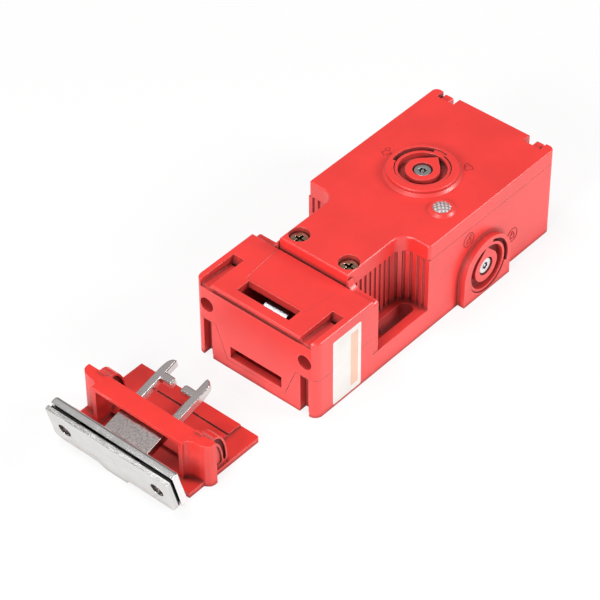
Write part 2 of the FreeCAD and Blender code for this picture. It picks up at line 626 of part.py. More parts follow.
bridges = []
bridge_slots = []
windows = []
fixed = []
terminals = []
for i in range(3):
    x = "contact_x + %d * contact_pitch" % i
    low = (x, "-contact_half", "head_split - contact_height / 2")
    high = (x + " + contact_strip", "contact_half", "head_split + contact_height / 2")
    bridges.append(box("bridge_contact_%d" % i, low, high))
    bridge_slots.append(box("bridge_slot_%d" % i, low, high))
    windows.append(box(
        "contact_window_%d" % i,
        (x + " - cam_fall - contact_strip - slide_gap", "-contact_half - 0.6", "head_split - contact_height / 2 - 0.6"),
        (x + " + contact_strip + slide_gap", "contact_half + 0.6", "head_split + contact_height / 2 + 0.6")))
    for side, sign in (("left", 1), ("right", -1)):
        y = "%d * terminal_y" % sign
        fixed.append(box(
            "fixed_contact_%d_%s" % (i, side),
            (x + " - cam_fall - contact_strip - slide_gap", y + " - 1.2", "head_split - contact_height / 2"),
            (x + " - cam_fall - slide_gap", y + " + 1.2", "block_top")))
        terminals.append(cut(
            "terminal_screw_%d_%s" % (i, side),
            rod("terminal_head_%d_%s" % (i, side), "z", x + " - cam_fall", y, "terminal_rad",
                "block_top", "block_top + terminal_height"),
            box("terminal_slot_%d_%s" % (i, side),
                (x + " - cam_fall - terminal_rad - 1", y + " - 0.35", "block_top + terminal_height - 0.8"),
                (x + " - cam_fall + terminal_rad + 1", y + " + 0.35", "block_top + terminal_height + 1"))))
node(cut("plunger_part", plunger, *bridge_slots), "plunger")
node(group("bridge_set", *bridges), "bridge_contacts")
node(group("fixed_set", *fixed), "fixed_contacts")
node(group("terminal_set", *terminals), "terminal_screws")

contact_block = box("contact_block_solid", ("block_x", "-block_half", "floor"),
                    ("block_x + block_len", "block_half", "block_top"))
carrier_way = box("carrier_way",
                  ("block_x - 1", "-carrier_half - slide_gap", "head_split - carrier_height / 2 - slide_gap"),
                  ("block_x + block_len + 1", "carrier_half + slide_gap",
                   "head_split + carrier_height / 2 + slide_gap"))
fixed_slots = []
for i, strip in enumerate(fixed):
    copy = doc.addObject("Part::Box", "fixed_slot_%d" % i)
    for prop in ("Length", "Width", "Height"):
        copy.setExpression(prop, strip.Name + "." + prop)
    for prop in ("x", "y", "z"):
        copy.setExpression("Placement.Base." + prop, strip.Name + ".Placement.Base." + prop)
    fixed_slots.append(copy)
node(cut("contact_block_part", contact_block, carrier_way, *windows, *fixed_slots), "contact_block")

bush = cut("bush_part",
           rod("bush_outer", "x", "0", axis_z, "bush_rad", "head_len", "head_len + bush_len"),
           rod("bush_bore", "x", "0", axis_z, "plunger_rad + running", "head_len - 1", "head_len + bush_len + 1"))
node(bush, "plunger_bush")

# Base housing: wide body, fluted waist, mounting ledges and the flange behind the head

fairings = []
for side, sign in (("left", 1), ("right", -1)):
    flat = box("fairing_block_" + side, ("head_len", "waist_half + lid_overhang + 0.15", "flange_top - 1"),
               (flange_end, "waist_half + fairing_len", "flange_top + fairing_height"))
    sweep = rod("fairing_sweep_" + side, "x", "waist_half + fairing_len", "flange_top + fairing_height",
                "min(fairing_len; fairing_height)", "head_len - 1", flange_end + " + 1")
    trim = box("fairing_trim_" + side, ("head_len - 1", "waist_half + fairing_len - 0.01", "flange_top"),
               (flange_end + " + 1", "waist_half + fairing_len + 2", "flange_top + fairing_height + 1"))
    one = cut("fairing_" + side, flat, sweep, trim)
    fairings.append(one if sign > 0 else mirrored("fairing_mirror", one))

shell = fuse(
    "base_shell",
    box("wide_body", ("body_x", "-" + half, "0"), ("body_end", half, "seam_z")),
    box("waist", ("head_len", "-waist_half", "0"), ("body_x + 1", "waist_half", "seam_z")))
shell = rounded("waist_fillets", shell, get("waist_fillet"), lambda e: upright(e, x=get("body_x"), y=get("waist_half")))
shell = rounded("body_corners", shell, get("body_corner"), lambda e: upright(e, x=get("body_end")))
shell = fuse("shell_with_ledges", shell,
             box("mounting_ledges", ("head_len", "-" + half, "0"), ("body_x + 1", half, "ledge_top")))
flange = box("head_flange", ("head_len", "-" + half + " + flange_inset", "0"),
             (flange_end, half + " - flange_inset", "flange_top"))
flange = rounded("flange_corners", flange, 1.5,
                 lambda e: abs(e.BoundBox.ZMin - get("flange_top")) < 1e-3 and e.BoundBox.XLength > 1
                 and e.BoundBox.YLength < 1e-3)
flange = cut("flange_under_lid", flange,
             box("lid_front_room", ("head_len - 1", "-waist_half - lid_overhang - 0.15", "seam_z"),
                 (flange_end + " + 1", "waist_half + lid_overhang + 0.15", "flange_top + 1")))
tabs = [rounded("hinge_tab_round_%s" % side,
                box("hinge_tab_" + side,
                    ("body_end - tab_len", "%s tab_y - tab_half" % sign, "seam_z - 1"),
                    ("body_end", "%s tab_y + tab_half" % sign, "tab_top")),
                0.8, lambda e: level(e, get("tab_top")) and e.BoundBox.YLength < 1e-3)
        for side, sign in (("left", "1 *"), ("right", "-1 *"))]
side_face = "-head_width / 2 - side_release_rise"
boss_low = box("side_boss_foot", ("side_release_x - release_boss", side_face, "0"),
               ("side_release_x + release_boss", "-" + half + " + 1", "side_release_z"))
boss_round = common(
    "side_boss_trimmed",
    rod("side_boss_round", "y", "side_release_x", "side_release_z", "release_boss", side_face, "-" + half + " + 1"),
    box("above_mounting_plane", ("side_release_x - 30", "-40", "0"), ("side_release_x + 30", "0", "40")))
side_bearing = rod("side_bearing", "y", "side_release_x", "side_release_z", "shaft_rad + 1.6",
                   "-" + half + " + side_wall - 0.5", side_face + " + rotor_depth + side_shaft_len - 0.3")
conduit_boss = rod("conduit_boss_solid", "x", "0", "conduit_z", "conduit_boss",
                   "body_end - conduit_len", "body_end - 1")
yoke_seat = box("yoke_seat", ("lock_x - coil_rad + 2", "yoke_y + yoke_plate", "floor - 1"),
                ("lock_x + coil_rad - 2", "yoke_y + coil_len", "head_split - coil_rad - 0.2 - yoke_plate"))

chambers = [
    box("waist_room", (neck_end, "-(%s)" % waist_chamber, "floor"), ("body_x + side_wall + 1", waist_chamber, "seam_z + 1")),
    box("body_room", ("body_x + side_wall", "-(%s)" % chamber_half, "floor"),
        (chamber_end, chamber_half, "seam_z + 1")),
]
shell = cut("base_chamber", shell, *chambers)
base = fuse("base_solid", shell, flange, boss_low, boss_round, side_bearing, conduit_boss, yoke_seat,
            *(fairings + tabs))


def release_tools(name, turn):
    """The bore, the shaft's hole and the stop slot of a release, from the face of its boss down."""
    bore = rod(name + "_bore", "z", "0", "0", "rotor_rad + rotor_gap", "-rotor_depth - 0.1", "1")
    hole = rod(name + "_shaft_hole", "z", "0", "0", "shaft_rad + running", "-rotor_depth - 7", "0")
    sector = rod(name + "_stop", "z", "0", "0", "stop_rad", "-stop_depth", "1", angle="release_turn + stop_angle + 2")
    spin(sector, "stop_lead - stop_angle - 1" if turn > 0 else "-stop_lead - release_turn - 1")
    place(sector, "0", "0", "-stop_depth")
    return fuse(name + "_tools", bore, hole, sector)


# A release's own frame has its axis along Z, the face of its boss at Z = 0 and its pointer along X.
# On the side wall its axis points outwards and its pointer up.
SIDE_TURN = Placement(FreeCAD.Matrix(0, -1, 0, 0, 0, 0, -1, 0, 1, 0, 0, 0, 0, 0, 0, 1)).Rotation


def seat_release(solid, top):
    if top:
        place(solid, "top_release_x", "0", "lid_top + release_rise")
    else:
        solid.Placement = Placement(Vector(), SIDE_TURN)
        place(solid, "side_release_x", side_face, "side_release_z")
    return solid


flutes = []
arc_x = "(body_x - waist_fillet)"
arc_y = "(waist_half + waist_fillet)"
spots = [("flute_x + %d * flute_pitch" % i, "waist_half") for i in range(8)]
spots += [("%s + waist_fillet * cos(%d)" % (arc_x, a), "%s + waist_fillet * sin(%d)" % (arc_y, a))
          for a in (-64, -37, -10)]
spots += [("body_x", arc_y + " + 1.9"), ("body_x", arc_y + " + 4.3")]
for i, (x, y) in enumerate(spots):
    flutes.append(rod("flute_left_%d" % i, "z", x, y, "flute_rad", "ledge_top", "seam_z + 1"))
    flutes.append(rod("flute_right_%d" % i, "z", x, "-(%s)" % y, "flute_rad", "ledge_top", "seam_z + 1"))

ways = [
    box("neck_passage", ("head_len + bush_len", "-neck_hole_half", "neck_hole_z"),
        (neck_end + " + 1", "neck_hole_half", "neck_hole_top")),
    rod("bush_seat", "x", "0", axis_z, "bush_rad", "head_len - 1", "head_len + bush_len"),
    rod("conduit_hole", "x", "0", "conduit_z", "conduit_rad", "body_end - conduit_len - 1", "body_end + 1"),
    seat_release(release_tools("side_release_room", -1), False),
]
for side, sign in (("left", ""), ("right", "-")):
    y = sign + "pocket_y"
    ways += [
        box("pocket_" + side, (flange_end, y + " - pocket_half", "pocket_floor"),
            ("pocket_end_x", y + " + pocket_half", "ledge_top + 0.5")),
        rod("pocket_end_" + side, "z", "pocket_end_x", y, "pocket_half", "pocket_floor", "ledge_top + 0.5"),
        box("slot_" + side, ("pocket_end_x - slot_travel", y + " - slot_half", "-1"),
            ("pocket_end_x", y + " + slot_half", "pocket_floor + 1")),
        rod("slot_front_" + side, "z", "pocket_end_x - slot_travel", y, "slot_half", "-1", "pocket_floor + 1"),
        rod("slot_rear_" + side, "z", "pocket_end_x", y, "slot_half", "-1", "pocket_floor + 1"),
        rod("lid_screw_bore_" + side, "z", "lid_screw_x", sign + "lid_screw_y", "lid_screw_rad",
            "lid_screw_foot", "seam_z + 1"),
        rod("head_screw_thread_" + side, "x", sign + "head_screw_y", "head_screw_z", "1.5",
            "head_len - 1", flange_end + " + 1"),
    ]
node(cut("base_part", cut("base_fluted", base, *flutes), *ways), "base_housing")

# Lid, with the collar of the top release and of the lamp

lid = fuse(
    "lid_solid",
    box("lid_wide", ("body_x", "-" + half, "seam_z"), ("body_end", half, "lid_top")),
    box("lid_waist", ("lid_front", "-waist_half - lid_overhang", "seam_z"),
        ("body_x + 1", "waist_half + lid_overhang", "lid_top")))
lid = rounded("lid_fillets", lid, get("waist_fillet") - get("lid_overhang"),
              lambda e: upright(e, x=get("body_x"), y=get("waist_half") + get("lid_overhang")))
lid = rounded("lid_rear_corners", lid, get("body_corner"), lambda e: upright(e, x=get("body_end")))
lid = rounded("lid_front_corners", lid, get("lid_corner"),
              lambda e: upright(e, x=get("body_x"), y=get("head_width") / 2))
lid = rounded("lid_edges", lid, get("lid_edge"), lambda e: level(e, get("lid_top")))
lid = rounded("lid_lower_edges", lid, get("lid_foot"), lambda e: level(e, get("seam_z")))
release_ring = rounded("release_ring_edge",
                       rod("release_ring", "z", "top_release_x", "0", "release_boss", "lid_top - 1",
                           "lid_top + release_rise"),
                       0.4, lambda e: level(e, get("lid_top") + get("release_rise")))
release_flare = flare("release_flare", "top_release_x", "0", "release_boss + release_foot", "release_boss",
                      "lid_top", "lid_top + release_foot")
lamp_ring = fuse("lamp_ring",
                 rod("lamp_ring_seat", "z", "lamp_x", "lamp_y", "lamp_collar", "lid_top - 1", "lid_top + 0.1"),
                 flare("lamp_ring_cone", "lamp_x", "lamp_y", "lamp_foot", "lamp_collar", "lid_top",
                       "lid_top + lamp_collar_height"))
lid_room = fuse(
    "lid_room",
    box("lid_waist_room", (neck_end, "-(%s)" % waist_chamber, "seam_z - 1"),
        ("body_x + side_wall + 1", waist_chamber, "lid_top - lid_plate")),
    box("lid_body_room", ("body_x + side_wall", "-(%s)" % chamber_half, "seam_z - 1"),
        (chamber_end, chamber_half, "lid_top - lid_plate")))
inner_boss = rod("release_inner_boss", "z", "top_release_x", "0", "release_boss - 0.5",
                 "lid_top + release_rise - rotor_depth - 2.6", "lid_top - 1")
lid = fuse("lid_body", cut("lid_hollow", lid, lid_room), release_ring, release_flare, lamp_ring, inner_boss)


def ring_room(name, grow):
    """The plan of the chamber, grown by a formula, over the gasket's height."""
    return fuse(
        name,
        box(name + "_waist", (neck_end + " - (%s)" % grow, "-(%s) - (%s)" % (waist_chamber, grow), "seam_z"),
            ("body_x + side_wall + 1", "%s + (%s)" % (waist_chamber, grow), "seam_z + gasket_height")),
        box(name + "_body", ("body_x + side_wall - (%s)" % grow, "-(%s) - (%s)" % (chamber_half, grow), "seam_z"),
            (chamber_end + " + (%s)" % grow, "%s + (%s)" % (chamber_half, grow), "seam_z + gasket_height")))


gasket = cut("gasket_part", ring_room("gasket_outer", "gasket_inset + gasket_width"),
             ring_room("gasket_inner", "gasket_inset"))
gasket_groove = cut("gasket_groove", ring_room("groove_outer", "gasket_inset + gasket_width"),
                    ring_room("groove_inner", "gasket_inset"))
node(gasket, "lid_gasket")

lid_cuts = [gasket_groove, seat_release(release_tools("top_release_room", 1), True)]
lid_screws = []
for side, sign in (("left", ""), ("right", "-")):
    y = sign + "lid_screw_y"
    lid_cuts += [
        rod("lid_recess_" + side, "z", "lid_screw_x", y, "lid_recess_rad", "lid_seat", "lid_top + 1"),
        rod("lid_hole_" + side, "z", "lid_screw_x", y, "lid_screw_rad + 0.2", "seam_z - 1", "lid_seat + 1"),
        box("lid_notch_" + side, ("body_end - notch_len", sign + "notch_y - notch_half", "seam_z - 1"),
            ("body_end + 1", sign + "notch_y + notch_half", "lid_top + 1")),
    ]
    lid_screws.append(cut(
        "lid_screw_" + side,
        fuse("lid_screw_body_" + side,
             rod("lid_screw_head_" + side, "z", "lid_screw_x", y, "lid_screw_head_rad", "lid_seat",
                 "lid_seat + lid_screw_head"),
             rod("lid_screw_shank_" + side, "z", "lid_screw_x", y, "lid_screw_rad", "lid_screw_foot",
                 "lid_seat + 1")),
        box("lid_cross_a_" + side,
            ("lid_screw_x - 1.9", y + " - recess_width / 2", "lid_seat + lid_screw_head - 1.2"),
            ("lid_screw_x + 1.9", y + " + recess_width / 2", "lid_seat + lid_screw_head + 1")),
        box("lid_cross_b_" + side,
            ("lid_screw_x - recess_width / 2", y + " - 1.9", "lid_seat + lid_screw_head - 1.2"),
            ("lid_screw_x + recess_width / 2", y + " + 1.9", "lid_seat + lid_screw_head + 1"))))
lamp_top = "lid_top + lamp_collar_height"
lid_cuts += [
    rod("lamp_bore", "z", "lamp_x", "lamp_y", "lamp_rad", "lid_top - lid_plate - 1", lamp_top + " + 1"),
]
node(cut("lid_part", lid, *lid_cuts), "lid")
node(group("lid_screw_pair", *lid_screws), "lid_screws")

# Indicator lamp: a domed lens with a small lamp under it

dome_rad = "((lamp_rad * lamp_rad + lens_rise * lens_rise) / (2 * lens_rise))"
dome = doc.addObject("Part::Sphere", "lens_dome")
bind(dome, "Radius", dome_rad)
place(dome, "lamp_x", "lamp_y", "%s + lens_rise - %s" % (lamp_top, dome_rad))
lens_body = rod("lens_body", "z", "lamp_x", "lamp_y", "lamp_rad", "lid_top - lid_plate", lamp_top + " + lens_rise + 1")
lens = common("lens_domed", lens_body, dome)
led_room = rod("led_room", "z", "lamp_x", "lamp_y", "led_rad + 0.1", "lid_top - lid_plate - 5", "lid_top - 0.4")
node(cut("lens_part", lens, led_room), "indicator_lens")
led_ball = doc.addObject("Part::Sphere", "led_ball")
bind(led_ball, "Radius", "led_rad")
place(led_ball, "lamp_x", "lamp_y", "lid_top - 0.5 - led_rad")
node(fuse("led_part", led_ball,
          rod("led_stem", "z", "lamp_x", "lamp_y", "led_rad", "lid_top - lid_plate - 2", "lid_top - 0.5 - led_rad"),
          rod("led_foot", "z", "lamp_x", "lamp_y", "lamp_rad + 0.6", "lid_top - lid_plate - 2",
              "lid_top - lid_plate")), "indicator_led")

# Manual releases: a turning collar with a pointed knob, stopped in a C-shaped slot


def release(name, label, turn, shaft_len, top):
    """A release rotor, its tamper-proof screw and its seal."""
    body = rod(name + "_cup", "z", "0", "0", "rotor_rad", "-rotor_depth", "-collar_drop")
    stop = rod(name + "_tab", "z", "0", "0", "stop_rad - 0.15", "-stop_depth + 0.1", "-collar_drop", angle="stop_angle - 1")
    spin(stop, "stop_lead - stop_angle + 0.5" if turn > 0 else "-stop_lead + 0.5")
    place(stop, "0", "0", "-stop_depth + 0.1")
    recess = rod(name + "_recess", "z", "0", "0", "rotor_rad - collar_wall", "-recess_depth - collar_drop", "1")
    cup = cut(name + "_collar", fuse(name + "_blank", body, stop), recess)
    knob = rod(name + "_knob", "z", "0", "0", "knob_rad", "-rotor_depth", "-knob_drop")
    point = doc.addObject("Part::Box", name + "_pointer")
    bind(point, "Length", "knob_rad")
    bind(point, "Width", "knob_rad")
    bind(point, "Height", "rotor_depth - knob_drop")
    point.Placement = Placement(Vector(), Rotation(Vector(0, 0, 1), -45))
    place(point, "0", "0", "-rotor_depth")
    shaft = rod(name + "_shaft", "z", "0", "0", "shaft_rad", "-rotor_depth - (%s)" % shaft_len, "-rotor_depth + 0.5")
    disc = rod(name + "_disc", "z", "0", "0", "shaft_disc_rad",
               "-rotor_depth - (%s) - shaft_disc" % shaft_len, "-rotor_depth - (%s)" % shaft_len)
    peg = rod(name + "_peg", "z", "peg_orbit", "0", "peg_rad",
              "-rotor_depth - (%s) - shaft_disc - peg_len" % shaft_len, "-rotor_depth - (%s)" % shaft_len)
    seat = rod(name + "_screw_seat", "z", "0", "0", "release_screw_hole", "-knob_drop - 0.5 - release_screw_head", "1")
    groove = cut(name + "_seal_groove",
                 rod(name + "_seal_outer", "z", "0", "0", "seal_major + seal_minor + 0.05", "-rotor_depth - 1",
                     "-rotor_depth + 2 * seal_minor - 0.05"),
                 rod(name + "_seal_inner", "z", "0", "0", "seal_major - seal_minor - 0.05", "-rotor_depth - 2",
                     "-rotor_depth + 3"))
    rotor = cut(name + "_rotor", fuse(name + "_solid", cup, knob, point, shaft, disc, peg), seat, groove)
    node(seat_release(rotor, top), label + "_rotor")

    screw_top = "-knob_drop - 0.5"
    head = rod(name + "_screw_head", "z", "0", "0", "release_screw_rad", screw_top + " - release_screw_head", screw_top)
    lobes = [rod("%s_lobe_%d" % (name, i), "z", "1.0 * cos(%d)" % (60 * i), "1.0 * sin(%d)" % (60 * i), "0.45",
                 screw_top + " - 1.1", "1") for i in range(6)]
    socket = rod(name + "_socket", "z", "0", "0", "1.1", screw_top + " - 1.1", "1")
    pin = rod(name + "_tamper_pin", "z", "0", "0", "tamper_pin", screw_top + " - 1.2", screw_top + " - 0.2")
    screw = fuse(name + "_screw", cut(name + "_screw_socket", head, socket, *lobes), pin)
    node(seat_release(screw, top), label + "_screw")

    ring = doc.addObject("Part::Torus", name + "_seal")
    bind(ring, "Radius1", "seal_major")
    bind(ring, "Radius2", "seal_minor")
    place(ring, "0", "0", "-rotor_depth - 0.1 + seal_minor")
    return ring


top_seal = release("top_release", "top_release", 1, "top_shaft_len", True)
side_seal = release("side_release", "side_release", -1, "side_shaft_len", False)
place(top_seal, "top_release_x", "0", "lid_top + release_rise - rotor_depth - 0.1 + seal_minor")
side_seal.Placement = Placement(Vector(), TURN["y"])
place(side_seal, "side_release_x", side_face + " + rotor_depth + 0.1 - seal_minor", "side_release_z")
node(group("seal_pair", top_seal, side_seal), "release_seals")

# Lock solenoid across the body: its bolt stands beside the plunger's tail

bolt_y = "tail_half + bolt_gap"
bobbin_y = "yoke_y + yoke_plate"
armature_end = bobbin_y + " + armature_len"
node(fuse("lock_bolt_part",
          rod("bolt_rod", "y", "lock_x", axis_z, "bolt_rad", bolt_y, bobbin_y + " + 1"),
          rod("armature_rod", "y", "lock_x", axis_z, "armature_rad", bobbin_y, armature_end),
          box("release_arm", ("lock_x", "arm_y", "head_split - 2"), ("lock_x + arm_reach", "arm_y + arm_len", "head_split + 2"))),
     "lock_bolt")
bobbin = cut("bobbin_part",
             fuse("bobbin_solid",
                  rod("bobbin_tube", "y", "lock_x", axis_z, "armature_rad + running + bobbin_wall", bobbin_y,
                      bobbin_y + " + coil_len"),
                  rod("bobbin_near", "y", "lock_x", axis_z, "coil_rad", bobbin_y, bobbin_y + " + bobbin_flange"),
                  rod("bobbin_far", "y", "lock_x", axis_z, "coil_rad", bobbin_y + " + coil_len - bobbin_flange",
                      bobbin_y + " + coil_len")),
             rod("bobbin_bore", "y", "lock_x", axis_z, "armature_rad + running", bobbin_y + " - 1",
                 bobbin_y + " + coil_len + 1"))
node(bobbin, "solenoid_bobbin")
node(cut("coil_part",
         rod("coil_outer", "y", "lock_x", axis_z, "coil_rad - 0.2", bobbin_y + " + bobbin_flange",
             bobbin_y + " + coil_len - bobbin_flange"),
         rod("coil_bore", "y", "lock_x", axis_z, "armature_rad + running + bobbin_wall", bobbin_y,
             bobbin_y + " + coil_len")), "solenoid_coil")
yoke_low = "head_split - coil_rad - 0.2"
yoke = cut("yoke_part",
           fuse("yoke_solid",
                box("yoke_near", ("lock_x - coil_rad", "yoke_y", yoke_low + " - yoke_plate"),
                    ("lock_x + coil_rad", bobbin_y, "head_split + coil_rad")),
                box("yoke_far", ("lock_x - coil_rad", bobbin_y + " + coil_len", yoke_low + " - yoke_plate"),
                    ("lock_x + coil_rad", bobbin_y + " + coil_len + yoke_plate", "head_split + coil_rad")),
                box("yoke_foot", ("lock_x - coil_rad", "yoke_y", yoke_low + " - yoke_plate"),
                    ("lock_x + coil_rad", bobbin_y + " + coil_len + yoke_plate", yoke_low))),
           rod("yoke_near_hole", "y", "lock_x", axis_z, "bolt_rad + 0.3", "yoke_y - 1", bobbin_y + " + 1"),
           rod("yoke_far_hole", "y", "lock_x", axis_z, "armature_rad + 0.3", bobbin_y + " + coil_len - 1",
               bobbin_y + " + coil_len + yoke_plate + 1"))
node(yoke, "solenoid_yoke")

# Lock spring, wound around the bolt, shown as short as the drawn-back arm leaves it
spring_start = get("arm_y") + get("arm_len") + get("bolt_stroke") + 0.1
spring_len = get("yoke_y") - spring_start - 0.02
wire = get("spring_wire")
pitch = (spring_len - 2 * wire) / get("spring_turns")
coil_path = Part.makeHelix(pitch, spring_len - 2 * wire, get("bolt_rad") + 0.25 + wire)
start_point = coil_path.Vertexes[0].Point
section = Part.Wire(Part.makeCircle(wire, start_point, Vector(0, 1, pitch / (2 * math.pi * start_point.x))))
spring_shape = Part.Wire(coil_path.Edges).makePipeShell([section], True, True)
spring = doc.addObject("Part::Feature", "lock_spring_part")
spring.Shape = spring_shape
spring.Placement = Placement(Vector(get("lock_x"), spring_start + wire, get("head_split")), TURN["y"])
node(spring, "lock_spring")

# Alignment guide: base plate, tunnel, ears and two sprung clips

near = "set_y - guide_plate_near"
far = "set_y + guide_plate_half"
plate_end = "guide_x + guide_len"
tunnel_end = "tunnel_x + tunnel_len"
plateau_top = "guide_plate + plateau_rise"
base_plate = box("guide_plate_solid", ("guide_x", near, "0"), (plate_end, far, "guide_plate"))
base_plate = rounded("guide_plate_corners", base_plate, 0.8,
                     lambda e: upright(e, x=get("guide_x") + get("guide_len")))
plateau = box("guide_plateau", (tunnel_end, "set_y - plateau_half", "guide_plate - 1"),
              (plate_end + " - 0.3", far, plateau_top))
plateau = rounded("guide_plateau_bevel", plateau, 0.8,
                  lambda e: level(e, get("guide_plate") + get("plateau_rise")) and e.BoundBox.YMin > 20)
roof = fuse("guide_roof",
            box("roof_front", ("tunnel_x", "set_y - tunnel_half - tunnel_wall", "guide_top - roof_plate"),
                (tunnel_end, "set_y + tunnel_half + tunnel_wall", "guide_top")),
            box("roof_rear", (tunnel_end + " - 2.4", "set_y - guide_half + 0.8", "guide_top - roof_plate"),
                (tunnel_end + " + 0.8", "set_y + guide_half - 0.8", "guide_top")))


def offset_pair(points, side):
    """Corners of an ear, given from the middle of the guide, on one side of it."""
    sign = "+" if side > 0 else "-"
    return [("tunnel_x + (%s)" % x, "set_y %s (%s)" % (sign, d)) for x, d in points]


ear_points = [("0", "tunnel_half"), ("0", "tunnel_half + 1.1"), ("1.8", "tunnel_half + 2.0"),
              ("2.6", "tunnel_half + 3.4"), ("2.9", "tunnel_half + 5.8"), ("3.5", "tunnel_half + 7.8"),
              ("4.6", "guide_half - 0.2"), ("5.8", "guide_half + 0.2"), ("7.2", "guide_half + 0.2"),
              ("7.2", "guide_half - 1.2"), ("5.6", "guide_half - 1.5"), ("4.8", "tunnel_half + 6.0"),
              ("4.4", "tunnel_half + 3.6"), ("3.8", "tunnel_half + 1.4"), ("2.0", "tunnel_half")]
ears = [prism("guide_ear_left", "XY", offset_pair(ear_points, 1), "0", "guide_top"),
        prism("guide_ear_right", "XY", offset_pair(ear_points, -1), "0", "guide_top")]
walls = [box("tunnel_wall_left", ("tunnel_x", "set_y + tunnel_half", "0"),
             (tunnel_end, "set_y + tunnel_half + tunnel_wall", "guide_top")),
         box("tunnel_wall_right", ("tunnel_x", "set_y - tunnel_half - tunnel_wall", "0"),
             (tunnel_end, "set_y - tunnel_half", "guide_top"))]

# A clip's outline, its curved groove and the hollow inside it, as shares of its reach and height
CLIP = (
    (0, 0.03), (0, 0.925), (0.17, 0.962), (0.38, 1), (0.56, 0.972), (0.71, 0.895), (0.84, 0.76), (0.93, 0.6),
    (0.985, 0.41), (1, 0.25), (0.965, 0.18), (0.89, 0.14), (0.87, 0.03),
)
BAND = (
    (0.19, 0.91), (0.38, 0.948), (0.53, 0.925), (0.655, 0.86), (0.775, 0.74), (0.86, 0.59), (0.91, 0.41),
    (0.92, 0.27), (0.875, 0.205), (0.81, 0.205), (0.78, 0.27), (0.755, 0.42), (0.7, 0.57), (0.62, 0.7),
    (0.51, 0.795), (0.38, 0.84), (0.19, 0.82),
)
HOLLOW = (
    (0.18, 0.77), (0.345, 0.795), (0.455, 0.755), (0.555, 0.67), (0.635, 0.55), (0.69, 0.41), (0.71, 0.26),
    (0.69, 0.185), (0.18, 0.185),
)


def clip_shape(name, shares, start, end):
    """A prism across the guide, from shares of a clip's reach and height."""
    points = [("clip_x + clip_reach * %s" % u, "clip_top * %s" % v) for u, v in shares]
    return prism(name, "XZ", points, start, end)


clips = []
nubs = []
for side, sign in (("left", "+"), ("right", "-")):
    middle = "set_y %s clip_side" % sign
    low = middle + " - clip_width / 2"
    high = middle + " + clip_width / 2"
    clips.append(cut("guide_clip_" + side,
                     clip_shape("clip_body_" + side, CLIP, low, high),
                     clip_shape("clip_band_low_" + side, BAND, low + " - 1", low + " + clip_band"),
                     clip_shape("clip_band_high_" + side, BAND, high + " - clip_band", high + " + 1"),
                     clip_shape("clip_hollow_low_" + side, HOLLOW, low + " - 1", low + " + clip_hollow"),
                     clip_shape("clip_hollow_high_" + side, HOLLOW, high + " - clip_hollow", high + " + 1")))
    nub_y = "set_y %s clip_y" % sign
    nubs.append(box("nub_" + side, (tunnel_end, nub_y + " - 1.5", "guide_top - 1"),
                    (tunnel_end + " + 0.8", nub_y + " + 1.5", "guide_top + nub_height")))
groove = box("plate_groove", ("plate_groove_x", "set_y - plateau_half - 0.5", plateau_top + " - 0.6"),
             ("plate_groove_x + plate_groove_width", "set_y + guide_plate_half / 2", plateau_top + " + 1"))
guide = cut("guide_part", fuse("guide_solid", base_plate, plateau, roof, *(ears + walls + clips + nubs)), groove)
node(guide, "alignment_guide")

# Actuator, drawn in its own frame: X out of the plate towards the tips, Z up along the plate,
# its foot at Z = 0, then leaned back onto its foot

mid_z = "foot_tab + plate_height / 2"


def lean_back(solid):
    spin(solid, "lean", Vector(0, -1, 0))
    place(solid, "foot_x", "actuator_y", "0")
    return solid


plate_blank = box("plate_blank", ("0", "-plate_half", "foot_tab"),
                  ("plate_thick", "plate_half", "foot_tab + plate_height"))
plate_blank = rounded("plate_corners", plate_blank, get("plate_corner"),
                      lambda e: e.BoundBox.XLength > 1 and e.BoundBox.YLength < 1e-3 and e.BoundBox.ZLength < 1e-3
                      and e.BoundBox.ZMin < get("foot_tab") + 1)
foot_tab = prism("plate_foot_tab", "YZ",
                 [("-foot_tab_half", "0"), ("foot_tab_half", "0"), ("foot_tab_half + foot_slope", "foot_tab"),
                  ("foot_tab_half + foot_slope", "foot_tab + 1"), ("-foot_tab_half", "foot_tab + 1")],
                 "0", "plate_thick")
plate_holes = [rod("plate_hole_left", "x", "plate_hole_y", mid_z, "plate_hole_rad", "-1", "plate_thick + 1"),
               rod("plate_hole_right", "x", "-plate_hole_y", mid_z, "plate_hole_rad", "-1", "plate_thick + 1")]
node(lean_back(cut("plate_part", fuse("plate_solid", plate_blank, foot_tab), *plate_holes)), "actuator_plate")

pad_low = "foot_tab + pad_inset"
pad_high = "foot_tab + plate_height - pad_inset"
pads = []
for side, inner, outer in (("left", "strip_half + 0.3", "plate_half - pad_inset"),
                           ("right", "-plate_half + pad_inset", "-strip_half - 0.3")):
    centre = "plate_hole_y" if side == "left" else "-plate_hole_y"
    pads.append(cut("pad_" + side,
                    box("pad_block_" + side, ("plate_thick", inner, pad_low),
                        ("plate_thick + flex_gap - pad_gap", outer, pad_high)),
                    rod("pad_hole_" + side, "x", centre, mid_z, "plate_hole_rad + 0.3", "plate_thick - 1",
                        "plate_thick + flex_gap + 1")))
node(lean_back(group("pad_pair", *pads)), "flex_pads")
strip = box("clamp_strip_solid", ("plate_thick", "-strip_half", pad_low),
            ("plate_thick + strip_thick", "strip_half", pad_high))
node(lean_back(group("clamp_strip_part", strip)), "clamp_strip")

